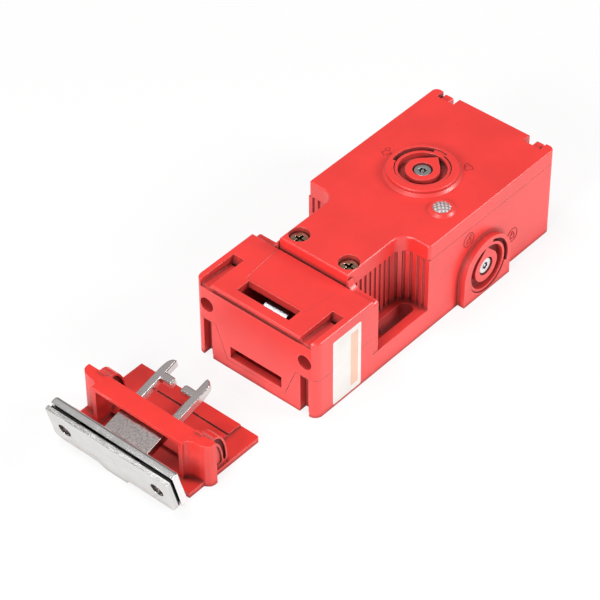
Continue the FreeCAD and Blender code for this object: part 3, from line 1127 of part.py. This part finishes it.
bar_x = "plate_thick + flex_gap"
bar_end = "plate_thick + flex_gap + bar_thick"
bar = box("bar_solid", (bar_x, "-plate_half", "foot_tab"), (bar_end, "plate_half", "foot_tab + plate_height"))
bar = rounded("bar_rounded", bar, get("bar_round"),
              lambda e: abs(e.BoundBox.XMin - get("plate_thick") - get("flex_gap") - get("bar_thick")) < 1e-3)
tenon_room = box("tenon_room", (bar_x + " - 1", "-tenon_half", mid_z + " - tongue_thick / 2"),
                 (bar_end + " + 1", "tenon_half", mid_z + " + tongue_thick / 2"))
access = [rod("bar_hole_left", "x", "plate_hole_y", mid_z, "plate_hole_rad + 0.4", bar_x + " - 1", bar_end + " + 1"),
          rod("bar_hole_right", "x", "-plate_hole_y", mid_z, "plate_hole_rad + 0.4", bar_x + " - 1", bar_end + " + 1")]
node(lean_back(cut("bar_part", bar, tenon_room, *access)), "actuator_bar")

tip_width = "(prong_outer - prong_inner - tip_corner)"
right_side = [(bar_x, "-tenon_half"), (bar_end, "-tenon_half"), (bar_end, "-prong_outer"),
              ("tongue_len - prong_taper", "-prong_outer")]
right_side += [("tongue_len - prong_taper * (1 - sin(%d))" % a, "-prong_inner - tip_corner - %s * cos(%d)" % (tip_width, a))
               for a in (22, 44, 66)]
right_side += [("tongue_len", "-prong_inner - tip_corner"), ("tongue_len - tip_corner", "-prong_inner"),
               ("lug_x + lug_len", "-prong_inner"), ("lug_x + lug_len", "-lug_end - lug_corner"),
               ("lug_x + lug_len - lug_corner", "-lug_end"), ("lug_x", "-lug_end"), ("lug_x", "-prong_inner"),
               ("web_end", "-prong_inner")]
left_side = [(x, "-(%s)" % y) for x, y in reversed(right_side)]
tongue = prism("tongue_outline", "XY", right_side + left_side, mid_z + " - tongue_thick / 2",
               mid_z + " + tongue_thick / 2")
tongue = rounded("tongue_rounded", tongue, get("tongue_edge"),
                 lambda e: e.BoundBox.ZLength < 1e-4 and e.BoundBox.XMin > get("plate_thick") + get("flex_gap") + get("bar_thick") + 0.5)
node(lean_back(tongue), "tongue")

# Checks and export

doc.recompute()
bad = [o.Name for o in doc.Objects if "Invalid" in o.State or "Error" in o.State]
if bad:
    raise RuntimeError("failed objects: " + ", ".join(bad))
os.makedirs("parts", exist_ok=True)
for solid in NODES:
    shape = solid.Shape
    if shape.isNull() or not shape.isValid() or not shape.Solids:
        raise RuntimeError("bad shape: " + solid.Label)
    shape.exportStep(os.path.join("parts", solid.Label + ".step"))
    b = shape.BoundBox
    print("%-18s solids %2d volume %9.1f  x %.1f..%.1f  y %.1f..%.1f  z %.1f..%.1f" % (
        solid.Label, len(shape.Solids), shape.Volume, b.XMin, b.XMax, b.YMin, b.YMax, b.ZMin, b.ZMax))
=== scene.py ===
import json
import math

import bmesh
import bpy
from mathutils import Matrix, Vector


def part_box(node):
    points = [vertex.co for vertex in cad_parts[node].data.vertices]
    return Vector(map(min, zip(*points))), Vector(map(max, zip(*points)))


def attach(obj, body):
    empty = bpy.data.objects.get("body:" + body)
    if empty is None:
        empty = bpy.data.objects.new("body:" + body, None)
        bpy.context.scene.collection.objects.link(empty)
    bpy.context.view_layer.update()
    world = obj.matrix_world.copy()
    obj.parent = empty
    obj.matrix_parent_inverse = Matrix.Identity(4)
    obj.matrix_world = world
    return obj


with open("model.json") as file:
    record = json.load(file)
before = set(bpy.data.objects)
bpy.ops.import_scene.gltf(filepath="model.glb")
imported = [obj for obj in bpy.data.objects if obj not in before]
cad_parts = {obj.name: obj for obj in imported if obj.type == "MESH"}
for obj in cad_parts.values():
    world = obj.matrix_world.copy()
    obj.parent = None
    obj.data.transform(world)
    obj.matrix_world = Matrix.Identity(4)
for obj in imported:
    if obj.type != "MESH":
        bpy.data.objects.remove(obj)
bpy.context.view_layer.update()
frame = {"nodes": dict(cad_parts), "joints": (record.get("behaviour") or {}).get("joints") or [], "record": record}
scene = bpy.context.scene

# Lengths are in millimetres, except where a comment says metres. Noise scales are in cells per
# metre. +X runs from the head's front to the rear, +Z up, and the near wall, which has the label
# and the side release, looks along -Y.
MM = 0.001


def in_mm(vector):
    """A place of the frame in millimetres."""
    return tuple(round(value / MM, 3) for value in vector)


# Node trees

MIX_A, MIX_B, MIX_RESULT = 6, 7, 2  # a mix node's colour sockets, whose names others of it share
RAYS = 8  # samples of each bevel and occlusion node


class Graph:
    """A small helper that fills the node tree of a material or a world."""

    def __init__(self, owner, output="ShaderNodeOutputMaterial"):
        owner.use_nodes = True
        self.owner = owner
        self.tree = owner.node_tree
        self.tree.nodes.clear()
        self.output = self.add(output)

    def add(self, kind, inputs=None, **settings):
        """A new node. Its inputs are given by name or number, each with a value or a socket."""
        made = self.tree.nodes.new(kind)
        for key, value in settings.items():
            setattr(made, key, value)
        for key, value in (inputs or {}).items():
            self.feed(value, made.inputs[key])
        return made

    def feed(self, value, socket):
        """Links a socket to an input, or sets the input's own value."""
        if isinstance(value, bpy.types.NodeSocket):
            self.tree.links.new(value, socket)
        elif socket.type == "RGBA":
            socket.default_value = (*value, 1.0)
        else:
            socket.default_value = value

    def noise(self, scale, detail, roughness, stretch=None):
        """Noise over the object's own coordinates."""
        place = self.add("ShaderNodeTexCoord").outputs["Object"]
        if stretch is not None:
            mapping = self.add("ShaderNodeMapping", {"Vector": place, "Scale": stretch})
            place = mapping.outputs["Vector"]
        made = self.add("ShaderNodeTexNoise",
                        {"Vector": place, "Scale": scale, "Detail": detail, "Roughness": roughness})
        return made.outputs["Fac"]

    def bands(self, scale, direction, distortion=0.0, turn=0.0):
        """Straight waves over the object's own coordinates, turned about Z by some radians."""
        place = self.add("ShaderNodeTexCoord").outputs["Object"]
        mapping = self.add("ShaderNodeMapping", {"Vector": place, "Rotation": (0.0, 0.0, turn)})
        place = mapping.outputs["Vector"]
        made = self.add("ShaderNodeTexWave",
                        {"Vector": place, "Scale": scale, "Distortion": distortion},
                        wave_type="BANDS", bands_direction=direction)
        return made.outputs["Fac"]

    def ramp(self, value, low, high, out_low=0.0, out_high=1.0):
        """Takes low to out_low and high to out_high, and holds both ends."""
        made = self.add("ShaderNodeMapRange", {"Value": value, "From Min": low, "From Max": high,
                                               "To Min": out_low, "To Max": out_high})
        return made.outputs["Result"]

    def math(self, kind, a, b):
        """The result of a math node on two values or sockets."""
        return self.add("ShaderNodeMath", {0: a, 1: b}, operation=kind).outputs["Value"]

    def mix(self, share, a, b):
        """Colour a where share is 0, and colour b where it is 1."""
        made = self.add("ShaderNodeMix", {"Factor": share, MIX_A: a, MIX_B: b}, data_type="RGBA")
        return made.outputs[MIX_RESULT]

    def edges(self, radius):
        """A rounded normal and a mask that is 1 on edges."""
        bevel = self.add("ShaderNodeBevel", {"Radius": radius * MM}, samples=RAYS)
        rounded = bevel.outputs["Normal"]
        flat = self.add("ShaderNodeNewGeometry").outputs["Normal"]
        likeness = self.add("ShaderNodeVectorMath", {0: rounded, 1: flat}, operation="DOT_PRODUCT")
        return rounded, self.ramp(likeness.outputs["Value"], 0.9, 0.998, 1.0, 0.0)

    def hollows(self, reach, low=0.35, high=0.95, alone=False):
        """A mask that is 1 deep in recesses, with alone set only in those of the piece itself."""
        made = self.add("ShaderNodeAmbientOcclusion", {"Distance": reach * MM},
                        samples=RAYS, only_local=alone)
        return self.ramp(made.outputs["AO"], low, high, 1.0, 0.0)

    def fade(self, value, start, over=6.0, level=0.42, rest=0.1):
        """Calms a noise to near its level past a place along X, where the piece is rubbed."""
        place = self.add("ShaderNodeTexCoord").outputs["Object"]
        along = self.add("ShaderNodeSeparateXYZ", {"Vector": place}).outputs["X"]
        keep = self.ramp(along, start * MM, (start + over) * MM, 1.0, rest)
        swing = self.math("MULTIPLY", self.math("SUBTRACT", value, level), keep)
        return self.math("ADD", swing, level)

    def bump(self, height, strength, depth, normal=None):
        """A normal that follows a height, on top of a rounded one if given."""
        inputs = {"Height": height, "Strength": strength, "Distance": depth * MM}
        if normal is not None:
            inputs["Normal"] = normal
        return self.add("ShaderNodeBump", inputs).outputs["Normal"]

    def surface(self, color, roughness, normal, constants):
        """Ends the graph with the main shader and returns the material."""
        inputs = {"Base Color": color, "Roughness": roughness, "Normal": normal, **constants}
        shader = self.add("ShaderNodeBsdfPrincipled", inputs)
        self.feed(shader.outputs["BSDF"], self.output.inputs["Surface"])
        return self.owner


def scaled(color, factor):
    """A lighter or darker version of a colour."""
    return tuple(min(1.0, factor * part) for part in color)


# Finishes

NOISE_LOW, NOISE_HIGH = 0.3, 0.7  # nearly all of a noise lies between these

# Shared by all mouldings
CLOUDS = 55.0
CLOUD_DARK, CLOUD_LIGHT = 0.93, 1.05
GROOVE = 2.5  # painted shade darkens a groove where its walls stand closer than this
# Painted shade: the colour is darkened to these shares of itself in wide corners and in narrow grooves
CORNER_SHADE = 0.35
GROOVE_PAINTED_SHADE = 0.11
# Painted highlight: the share of the lighter edge colour laid on edges
EDGE_HIGHLIGHT_SHARE = 0.55
EDGE_POLISH = -0.08
DULL_HOLLOWS = 0.5

# Shared by all metals
PATCHES = 140.0
TARNISH = 0.18
# Painted shade in narrow gaps: how close walls stand, and the share of the dark colour left there
SHADED_GAP = 1.2
GAP_PAINTED_SHADE = 0.05
# Painted highlight: share of the lighter colour laid on metal edges
METAL_HIGHLIGHT_SHARE = 0.6

WIRES = 900.0
HATCH = 250.0  # of the lamp's lens
HATCH_TURN = 0.785  # in radians


def plastic(name, color, edge_highlight, rough, grain=2600.0, depth=0.012, edge=0.22, recess_shade=0.88,
            shade_in=0.6, reach=30.0, gloss=0.5):
    """Moulded plastic: spark-eroded grain, faint flow clouds, polished edges with a painted highlight, and painted
    shade in corners and grooves.
    """
    g = Graph(bpy.data.materials.new(name))
    rounded, edge_mask = g.edges(edge)
    fine = g.noise(grain, detail=2.0, roughness=0.55)
    clouds = g.ramp(g.noise(CLOUDS, detail=4.0, roughness=0.5), 0.35, 0.65)
    # Painted shade: masks that darken the colour where wide corners and narrow grooves fall in shade
    wide = g.math("MULTIPLY", g.hollows(reach, 0.25, 0.8, alone=True), shade_in)
    deep = g.math("MULTIPLY", g.hollows(GROOVE, 0.3, 0.92), recess_shade)

    shade = g.mix(clouds, scaled(color, CLOUD_DARK), scaled(color, CLOUD_LIGHT))
    shade = g.mix(wide, shade, scaled(color, CORNER_SHADE))
    shade = g.mix(deep, shade, scaled(color, GROOVE_PAINTED_SHADE))
    # Painted highlight: edges are lightened towards the edge_highlight colour
    shade = g.mix(g.math("MULTIPLY", edge_mask, EDGE_HIGHLIGHT_SHARE), shade, edge_highlight)

    rub = g.ramp(fine, NOISE_LOW, NOISE_HIGH, rough - 0.05, rough + 0.07)
    rub = g.math("ADD", rub, g.math("MULTIPLY", edge_mask, EDGE_POLISH))
    rub = g.math("ADD", rub, g.math("MULTIPLY", g.math("MAXIMUM", wide, deep), DULL_HOLLOWS))
    return g.surface(shade, rub, g.bump(fine, 0.55, depth, rounded), {"Specular IOR Level": gloss})


def metal(name, color, dark, rough, stretch=None, grain=900.0, depth=0.008, speckle=0.35,
          edge=0.18, recess_shade=0.5, rubbed=None):
    """Bare or plated metal: drawn or blasted grain, dull patches, a painted highlight on edges, painted shade in
    recesses.
    """
    g = Graph(bpy.data.materials.new(name))
    rounded, edge_mask = g.edges(edge)
    lines = g.noise(grain, detail=5.0, roughness=0.65, stretch=stretch)
    patches = g.noise(PATCHES, detail=4.0, roughness=0.6)
    if rubbed is not None:
        lines = g.fade(lines, rubbed)
    spots = g.math("MULTIPLY", g.ramp(lines, 0.38, 0.68), speckle)
    tarnish = g.math("MULTIPLY", g.ramp(patches, 0.4, 0.75), TARNISH)
    # Painted highlight: a lighter colour for the edges
    highlight = tuple(min(1.0, 1.2 * part + 0.05) for part in color)

    shade = g.mix(g.math("ADD", spots, tarnish), color, dark)
    shade = g.mix(g.math("MULTIPLY", edge_mask, METAL_HIGHLIGHT_SHARE), shade, highlight)
    # Painted shade: darker in narrow recesses
    shade = g.mix(g.math("MULTIPLY", g.hollows(SHADED_GAP), recess_shade), shade, scaled(dark, GAP_PAINTED_SHADE))

    rub = g.ramp(lines, NOISE_LOW, NOISE_HIGH, rough - 0.06, rough + 0.1)
    rub = g.math("ADD", rub, g.ramp(patches, 0.4, 0.8, 0.0, 0.06))
    return g.surface(shade, rub, g.bump(lines, 0.6, depth, rounded), {"Metallic": 1.0})


def winding(name):
    """Turns of copper wire, side by side along Y."""
    g = Graph(bpy.data.materials.new(name))
    wire = g.bands(WIRES, "Y", distortion=0.3)
    rounded, _ = g.edges(0.2)
    shade = g.mix(wire, (0.20, 0.055, 0.02), (0.66, 0.28, 0.10))
    rub = g.ramp(wire, 0.0, 1.0, 0.42, 0.22)
    return g.surface(shade, rub, g.bump(wire, 0.8, 0.06, rounded), {"Metallic": 0.7})


def lens(name):
    """Clear plastic with a fine cross hatch moulded in."""
    g = Graph(bpy.data.materials.new(name))
    one_way, other_way = (g.bands(HATCH, "X", turn=turn) for turn in (HATCH_TURN, -HATCH_TURN))
    hatch = g.math("MULTIPLY", one_way, other_way)
    shade = g.mix(g.ramp(hatch, 0.0, 0.5), (0.40, 0.27, 0.28), (1.0, 0.99, 0.99))
    rub = g.ramp(hatch, 0.0, 1.0, 0.16, 0.05)
    constants = {"Transmission Weight": 0.30, "IOR": 1.49}
    return g.surface(shade, rub, g.bump(hatch, 1.0, 0.3), constants)


RED = (0.86, 0.038, 0.032)
# A lighter red painted on edges as a highlight
RED_EDGE_HIGHLIGHT = (0.95, 0.20, 0.17)
PRINTED = dict(grain=1200.0, depth=0.004, edge=0.03, recess_shade=0.0, shade_in=0.0)

PLASTICS = {
    "red_shell": dict(color=RED, edge_highlight=RED_EDGE_HIGHLIGHT, rough=0.35, depth=0.009, gloss=1.0),
    # The guide takes stronger painted shade in its wide corners, such as inside its tunnel
    "red_guide": dict(color=(0.82, 0.030, 0.022), edge_highlight=RED_EDGE_HIGHLIGHT, rough=0.36, grain=1900.0,
                      depth=0.010, shade_in=0.8, reach=20.0, gloss=0.8),
    "black_moulding": dict(color=(0.022, 0.022, 0.024), edge_highlight=(0.09, 0.09, 0.09), rough=0.48),
    "lamp_body": dict(color=(0.80, 0.62, 0.60), edge_highlight=(0.92, 0.85, 0.84), rough=0.30, grain=1500.0),
    "black_rubber": dict(color=(0.012, 0.012, 0.013), edge_highlight=(0.05, 0.05, 0.05), rough=0.62,
                         grain=1400.0, depth=0.03),
    "label_film": dict(color=(0.84, 0.83, 0.80), edge_highlight=(0.90, 0.89, 0.87), rough=0.32, **PRINTED),
    "label_field": dict(color=(0.84, 0.55, 0.41), edge_highlight=(0.90, 0.78, 0.66), rough=0.34, **PRINTED),
    # The marks are moulded in the shell's red; their darker red is painted shade
    "mark_painted_shade": dict(color=(0.52, 0.020, 0.020), edge_highlight=(0.70, 0.06, 0.05), rough=0.36, edge=0.05),
}
METALS = {
    "screw_steel": dict(color=(0.92, 0.92, 0.92), dark=(0.34, 0.34, 0.35), rough=0.30,
                        grain=1600.0, speckle=0.15, edge=0.3, recess_shade=1.0),
    "screw_brass": dict(color=(0.72, 0.60, 0.42), dark=(0.26, 0.19, 0.11), rough=0.24,
                        grain=1600.0, recess_shade=1.0),
    "cam_steel": dict(color=(0.58, 0.58, 0.60), dark=(0.22, 0.22, 0.23), rough=0.30,
                      stretch=(1.0, 14.0, 1.0), grain=500.0),
    "contact_silver": dict(color=(0.86, 0.85, 0.82), dark=(0.5, 0.48, 0.44), rough=0.20),
    "plate_grey": dict(color=(0.72, 0.71, 0.695), dark=(0.50, 0.49, 0.48), rough=0.18,
                       stretch=(1.0, 0.15, 1.0), grain=1500.0, depth=0.0004, speckle=0.10),
    "bar_chrome": dict(color=(0.95, 0.94, 0.935), dark=(0.56, 0.55, 0.55), rough=0.10,
                       stretch=(1.0, 0.05, 1.0), grain=2200.0, depth=0.0005, speckle=0.15,
                       edge=0.6, recess_shade=0.8),
    "tongue_steel": dict(color=(0.85, 0.785, 0.77), dark=(0.16, 0.115, 0.11), rough=0.12,
                         grain=1400.0, depth=0.03, speckle=0.72, edge=0.3, rubbed=-42.0),
}

finishes = {name: plastic(name, **look) for name, look in PLASTICS.items()}
finishes.update({name: metal(name, **look) for name, look in METALS.items()})
finishes["coil_winding"] = winding("coil_winding")
finishes["clear_lens"] = lens("clear_lens")

for part in frame["record"]["subparts"]:
    node = frame["nodes"][part["node"]]
    node.data.materials.clear()
    node.data.materials.append(finishes[part["material_slot"]])


# Additions to the switch


def add_piece(name, data, finish, place=None):
    """A piece that rides the switch, with its finish."""
    data.materials.append(finishes[finish])
    piece = bpy.data.objects.new(name, data)
    if place is not None:
        piece.matrix_world = place
    scene.collection.objects.link(piece)
    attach(piece, "switch")


def closed_mesh(name, mesh):
    """Mesh data from a finished bmesh, with all faces turned outwards."""
    bmesh.ops.recalc_face_normals(mesh, faces=mesh.faces)
    data = bpy.data.meshes.new(name)
    mesh.to_mesh(data)
    mesh.free()
    return data


def vertex(mesh, x, y, z):
    """A new vertex at a place in millimetres."""
    return mesh.verts.new((x * MM, y * MM, z * MM))


def arc(x, y, radius, first, last, steps):
    """Points along an arc between two angles in degrees."""
    angles = [math.radians(first + (last - first) * i / steps) for i in range(steps + 1)]
    return [(x + radius * math.cos(angle), y + radius * math.sin(angle)) for angle in angles]


head_front, near_wall, _ = in_mm(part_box("head_upper")[0])
axes = {joint["name"]: in_mm(joint["pos_m"]) for joint in frame["joints"] if "pos_m" in joint}
mounts = {mount["name"]: mount for mount in frame["record"]["mounts"]}

# Blank label on the head's near side: white film with one tinted field

LABEL_FROM_FRONT = 8.2
LABEL_FROM_FLOOR = 1.0
LABEL_LENGTH = 13.9
LABEL_HEIGHT = 27.4
FIELD_FROM_EDGE = 8.7
FIELD_LENGTH = 3.7
FIELD_FROM_BOTTOM = 2.4
FIELD_HEIGHT = 22.8
CORNER_ANGLES = (0, 22, 45, 68, 90)


def film(name, x, z, length, height, corner, start, end, finish):
    """A thin sheet with rounded corners, from start to end outside the near wall."""
    left, right = x + corner, x + length - corner
    low, high = z + corner, z + height - corner
    outline = []
    for quarter, (u, v) in enumerate(((right, high), (left, high), (left, low), (right, low))):
        for step in CORNER_ANGLES:
            angle = math.radians(90 * quarter + step)
            outline.append((u + corner * math.cos(angle), v + corner * math.sin(angle)))
    mesh = bmesh.new()
    inner, outer = ([vertex(mesh, u, near_wall - out, v) for u, v in outline]
                    for out in (start, end))
    mesh.faces.new(inner[::-1])
    mesh.faces.new(outer)
    for i in range(len(outline)):
        j = (i + 1) % len(outline)
        mesh.faces.new((inner[i], inner[j], outer[j], outer[i]))
    add_piece(name, closed_mesh(name, mesh), finish)


label_x = head_front + LABEL_FROM_FRONT
film("label", label_x, LABEL_FROM_FLOOR, LABEL_LENGTH, LABEL_HEIGHT,
     corner=0.7, start=0.0, end=0.06, finish="label_film")
film("label_tint", label_x + FIELD_FROM_EDGE, LABEL_FROM_FLOOR + FIELD_FROM_BOTTOM, FIELD_LENGTH,
     FIELD_HEIGHT, corner=0.2, start=0.05, end=0.075, finish="label_field")

# Moulded padlock marks at both ends of each release's turn, their darker red painted shade

LID_TOP = 36.5  # the lid's flat face, between its bosses
RING_RADIUS = 2.7
SIDE_PADLOCK, SIDE_LINE = 2.1, 0.17  # how wide a padlock is, and the radius of its lines
TOP_PADLOCK, TOP_LINE = 2.6, 0.16
# Each mark's name, its place from the release's axis along and across the wall, and whether open
SIDE_MARKS = (("mark_side_a", -7.6, 15.5, True), ("mark_side_b", 16.9, 1.6, False))
TOP_MARKS = (("mark_top_a", 0.6, 16.4, True), ("mark_top_b", 12.2, -9.9, False))
TOP_MARKS_UP = (0.55, 0.835, 0.0)  # the way that the padlocks on the lid point


def raised_lines(name, runs, radius, place):
    """Raised lines on a wall. Each run is a list of flat points and whether it closes."""
    data = bpy.data.curves.new(name, "CURVE")
    data.dimensions = "3D"
    data.bevel_depth = radius * MM
    data.bevel_resolution = 2
    for points, closed in runs:
        spline = data.splines.new("POLY")
        spline.points.add(len(points) - 1)
        for point, (u, v) in zip(spline.points, points):
            point.co = (u * MM, v * MM, 0.0, 1.0)
        spline.use_cyclic_u = closed
    # The lines take a darker red as painted shade
    add_piece(name, data, "mark_painted_shade", place)


def padlock(size, opened):
    """The outlines of a padlock, whose shackle stands to one side when it is open."""
    body = [(-0.5, -0.6), (0.5, -0.6), (0.5, 0.15), (-0.5, 0.15)]
    swing = 0.38 if opened else 0.0
    shackle = [(-0.3 + swing, 0.15)] + arc(swing, 0.42, 0.3, 180, 0, 8)
    if not opened:
        shackle.append((0.3, 0.15))
    return [([(size * u, size * v) for u, v in run], closed)
            for run, closed in ((body, True), (shackle, False))]


def seat(spot, out, up):
    """A place on a wall, with Z out of the wall and Y up along it."""
    out, up = Vector(out), Vector(up)
    made = Matrix((up.cross(out), up, out)).transposed().to_4x4()
    made.translation = Vector(spot) * MM
    return made


side_x, _, side_z = axes["side_release_turn"]
for name, along, above, opened in SIDE_MARKS:
    ring = (arc(0.0, 0.0, RING_RADIUS, 0, 350, 35), True)
    place = seat((side_x + along, near_wall, side_z + above), (0.0, -1.0, 0.0), (0.0, 0.0, 1.0))
    raised_lines(name, [ring] + padlock(SIDE_PADLOCK, opened), SIDE_LINE, place)
top_x, top_y, _ = axes["top_release_turn"]
for name, along, across, opened in TOP_MARKS:
    place = seat((top_x + along, top_y + across, LID_TOP), (0.0, 0.0, 1.0), TOP_MARKS_UP)
    raised_lines(name, padlock(TOP_PADLOCK, opened), TOP_LINE, place)

# Thread of the conduit entry, a ridge that winds along the bore

PITCH = 1.5
TURNS = 7
STEPS = 36  # in each turn
THREAD_START = -6.0  # from the middle of the bore's length
ROOT_SUNK = 0.05  # into the bore's wall
CREST_HEIGHT = 0.5  # above the wall
HALF_ROOT = 0.62
HALF_CREST = 0.08

entry = mounts["conduit_entry"]
entry_x, entry_y, entry_z = in_mm(entry["pos_m"])
root, crest = entry["dims"]["r_mm"] + ROOT_SUNK, entry["dims"]["r_mm"] - CREST_HEIGHT
profile = ((root, -HALF_ROOT), (crest, -HALF_CREST), (crest, HALF_CREST), (root, HALF_ROOT))
mesh = bmesh.new()
rings = []
for i in range(TURNS * STEPS + 1):
    angle = 2.0 * math.pi * i / STEPS
    middle = entry_x + THREAD_START + PITCH * i / STEPS
    rings.append([vertex(mesh, middle + shift, entry_y + radius * math.cos(angle),
                         entry_z + radius * math.sin(angle)) for radius, shift in profile])
for first, second in zip(rings, rings[1:]):
    for i in range(len(profile)):
        j = (i + 1) % len(profile)
        mesh.faces.new((first[i], first[j], second[j], second[i]))
mesh.faces.new(rings[0][::-1])
mesh.faces.new(rings[-1])
add_piece("conduit_thread", closed_mesh("conduit_thread", mesh), "red_shell")

# Camera, as fitted to the photo

CAMERA_SPOT = (-470.3, -431.5, 615.8)
CAMERA_TURN = (2.13295843, -0.97710186, 0.42546329)  # rotation vector of the picture, in radians
SENSOR_WIDTH = 36.0
LENS = 162.55
CLIPPING = (0.05, 20.0)  # in metres

turn = Vector(CAMERA_TURN)
right, down, ahead = Matrix.Rotation(turn.length, 3, turn.normalized())
camera_data = bpy.data.cameras.new("camera")
camera_data.sensor_width = SENSOR_WIDTH
camera_data.lens = LENS
camera_data.clip_start, camera_data.clip_end = CLIPPING
camera = bpy.data.objects.new("camera", camera_data)
placed = Matrix((right, -down, -ahead)).transposed().to_4x4()
placed.translation = Vector(CAMERA_SPOT) * MM
camera.matrix_world = placed
scene.collection.objects.link(camera)
scene.camera = camera
scene.view_settings.view_transform = "Standard"

# World and floor look white to the camera and in part to metal, and light the object plainly

WHITE = (1.0, 1.0, 1.0)
# Mirrored rays see no white in the floor up to the first length, and all of it past the second
CONTACT_START, CONTACT_END = 1.0, 12.0
FLOOR_WHITE = 0.82  # the rest of the floor's look keeps the shadows
FLOOR_SIZE = 6.0  # in metres
FLOOR_DROP = 0.05
FLECKS = 300.0
STRAIGHT_DOWN = (0.50, 0.49, 0.48)
STRAIGHT_UP = (0.34, 0.33, 0.33)
WARM = (1.0, 0.98, 0.97)
# Heights between straight down, 0, and straight up, 1, and how light the sky is there
SKY_BANDS = ((0.42, 0.26), (0.60, 0.10), (0.70, 0.16), (0.80, 0.46))


def seen_white(g, plain, share, rays, glow, near_too):
    """Ends a graph with plain and a share of white glow, seen by camera rays and some others."""
    path = g.add("ShaderNodeLightPath").outputs
    seen = path["Is Camera Ray"]
    for name in rays:
        ray = path[name]
        if not near_too:
            clear = g.ramp(path["Ray Length"], CONTACT_START * MM, CONTACT_END * MM)
            ray = g.math("MULTIPLY", ray, clear)
        seen = g.math("MAXIMUM", seen, ray)
    white = g.add(glow, {"Color": WHITE, "Strength": 1.0}).outputs[0]
    share = g.math("MULTIPLY", seen, share)
    both = g.add("ShaderNodeMixShader", {"Fac": share, 1: plain, 2: white})
    g.feed(both.outputs["Shader"], g.output.inputs["Surface"])


scene.world = bpy.data.worlds.new("studio")
g = Graph(scene.world, "ShaderNodeOutputWorld")
direction = g.add("ShaderNodeTexCoord").outputs["Generated"]
height = g.add("ShaderNodeSeparateXYZ", {"Vector": direction}).outputs["Z"]
shades = g.add("ShaderNodeValToRGB", {"Fac": height})
stops = shades.color_ramp.elements
stops[0].color, stops[1].color = (*STRAIGHT_DOWN, 1.0), (*STRAIGHT_UP, 1.0)
for band, level in SKY_BANDS:
    stops.new(band).color = (*scaled(WARM, level), 1.0)
sky = g.add("ShaderNodeBackground", {"Color": shades.outputs["Color"], "Strength": 1.0})
seen_white(g, sky.outputs["Background"], 1.0, ("Is Transmission Ray",), "ShaderNodeBackground",
           near_too=True)

bpy.ops.mesh.primitive_plane_add(size=FLOOR_SIZE, location=(0.0, 0.0, -FLOOR_DROP * MM))
floor = bpy.context.object
floor.name = "floor"
g = Graph(bpy.data.materials.new("floor_paper"))
fleck = g.mix(g.noise(FLECKS, detail=3.0, roughness=0.6), (0.90, 0.90, 0.90), (0.94, 0.94, 0.94))
paper = g.add("ShaderNodeBsdfDiffuse", {"Color": fleck})
seen_white(g, paper.outputs["BSDF"], FLOOR_WHITE, ("Is Glossy Ray", "Is Transmission Ray"),
           "ShaderNodeEmission", near_too=False)
floor.data.materials.append(g.owner)

# Lamps, with places and sizes in metres

LAMPS = {
    "key": dict(spot=(-0.80, -0.10, 0.46), aim=(0.02, 0.0, 0.0), size=0.30, watts=5.8),
    "side": dict(spot=(0.48, -0.62, 0.46), aim=(0.06, 0.0, 0.01), size=0.26, watts=4.2),
    "top": dict(spot=(-0.15, 0.25, 0.95), aim=(0.04, 0.0, 0.0), size=0.35, watts=3.4),
}

for name, lamp in LAMPS.items():
    data = bpy.data.lights.new(name, "AREA")
    data.shape = "SQUARE"
    data.size = lamp["size"]
    data.energy = lamp["watts"]
    light = bpy.data.objects.new(name, data)
    light.location = lamp["spot"]
    towards = Vector(lamp["aim"]) - light.location
    light.rotation_euler = towards.to_track_quat("-Z", "Y").to_euler()
    scene.collection.objects.link(light)
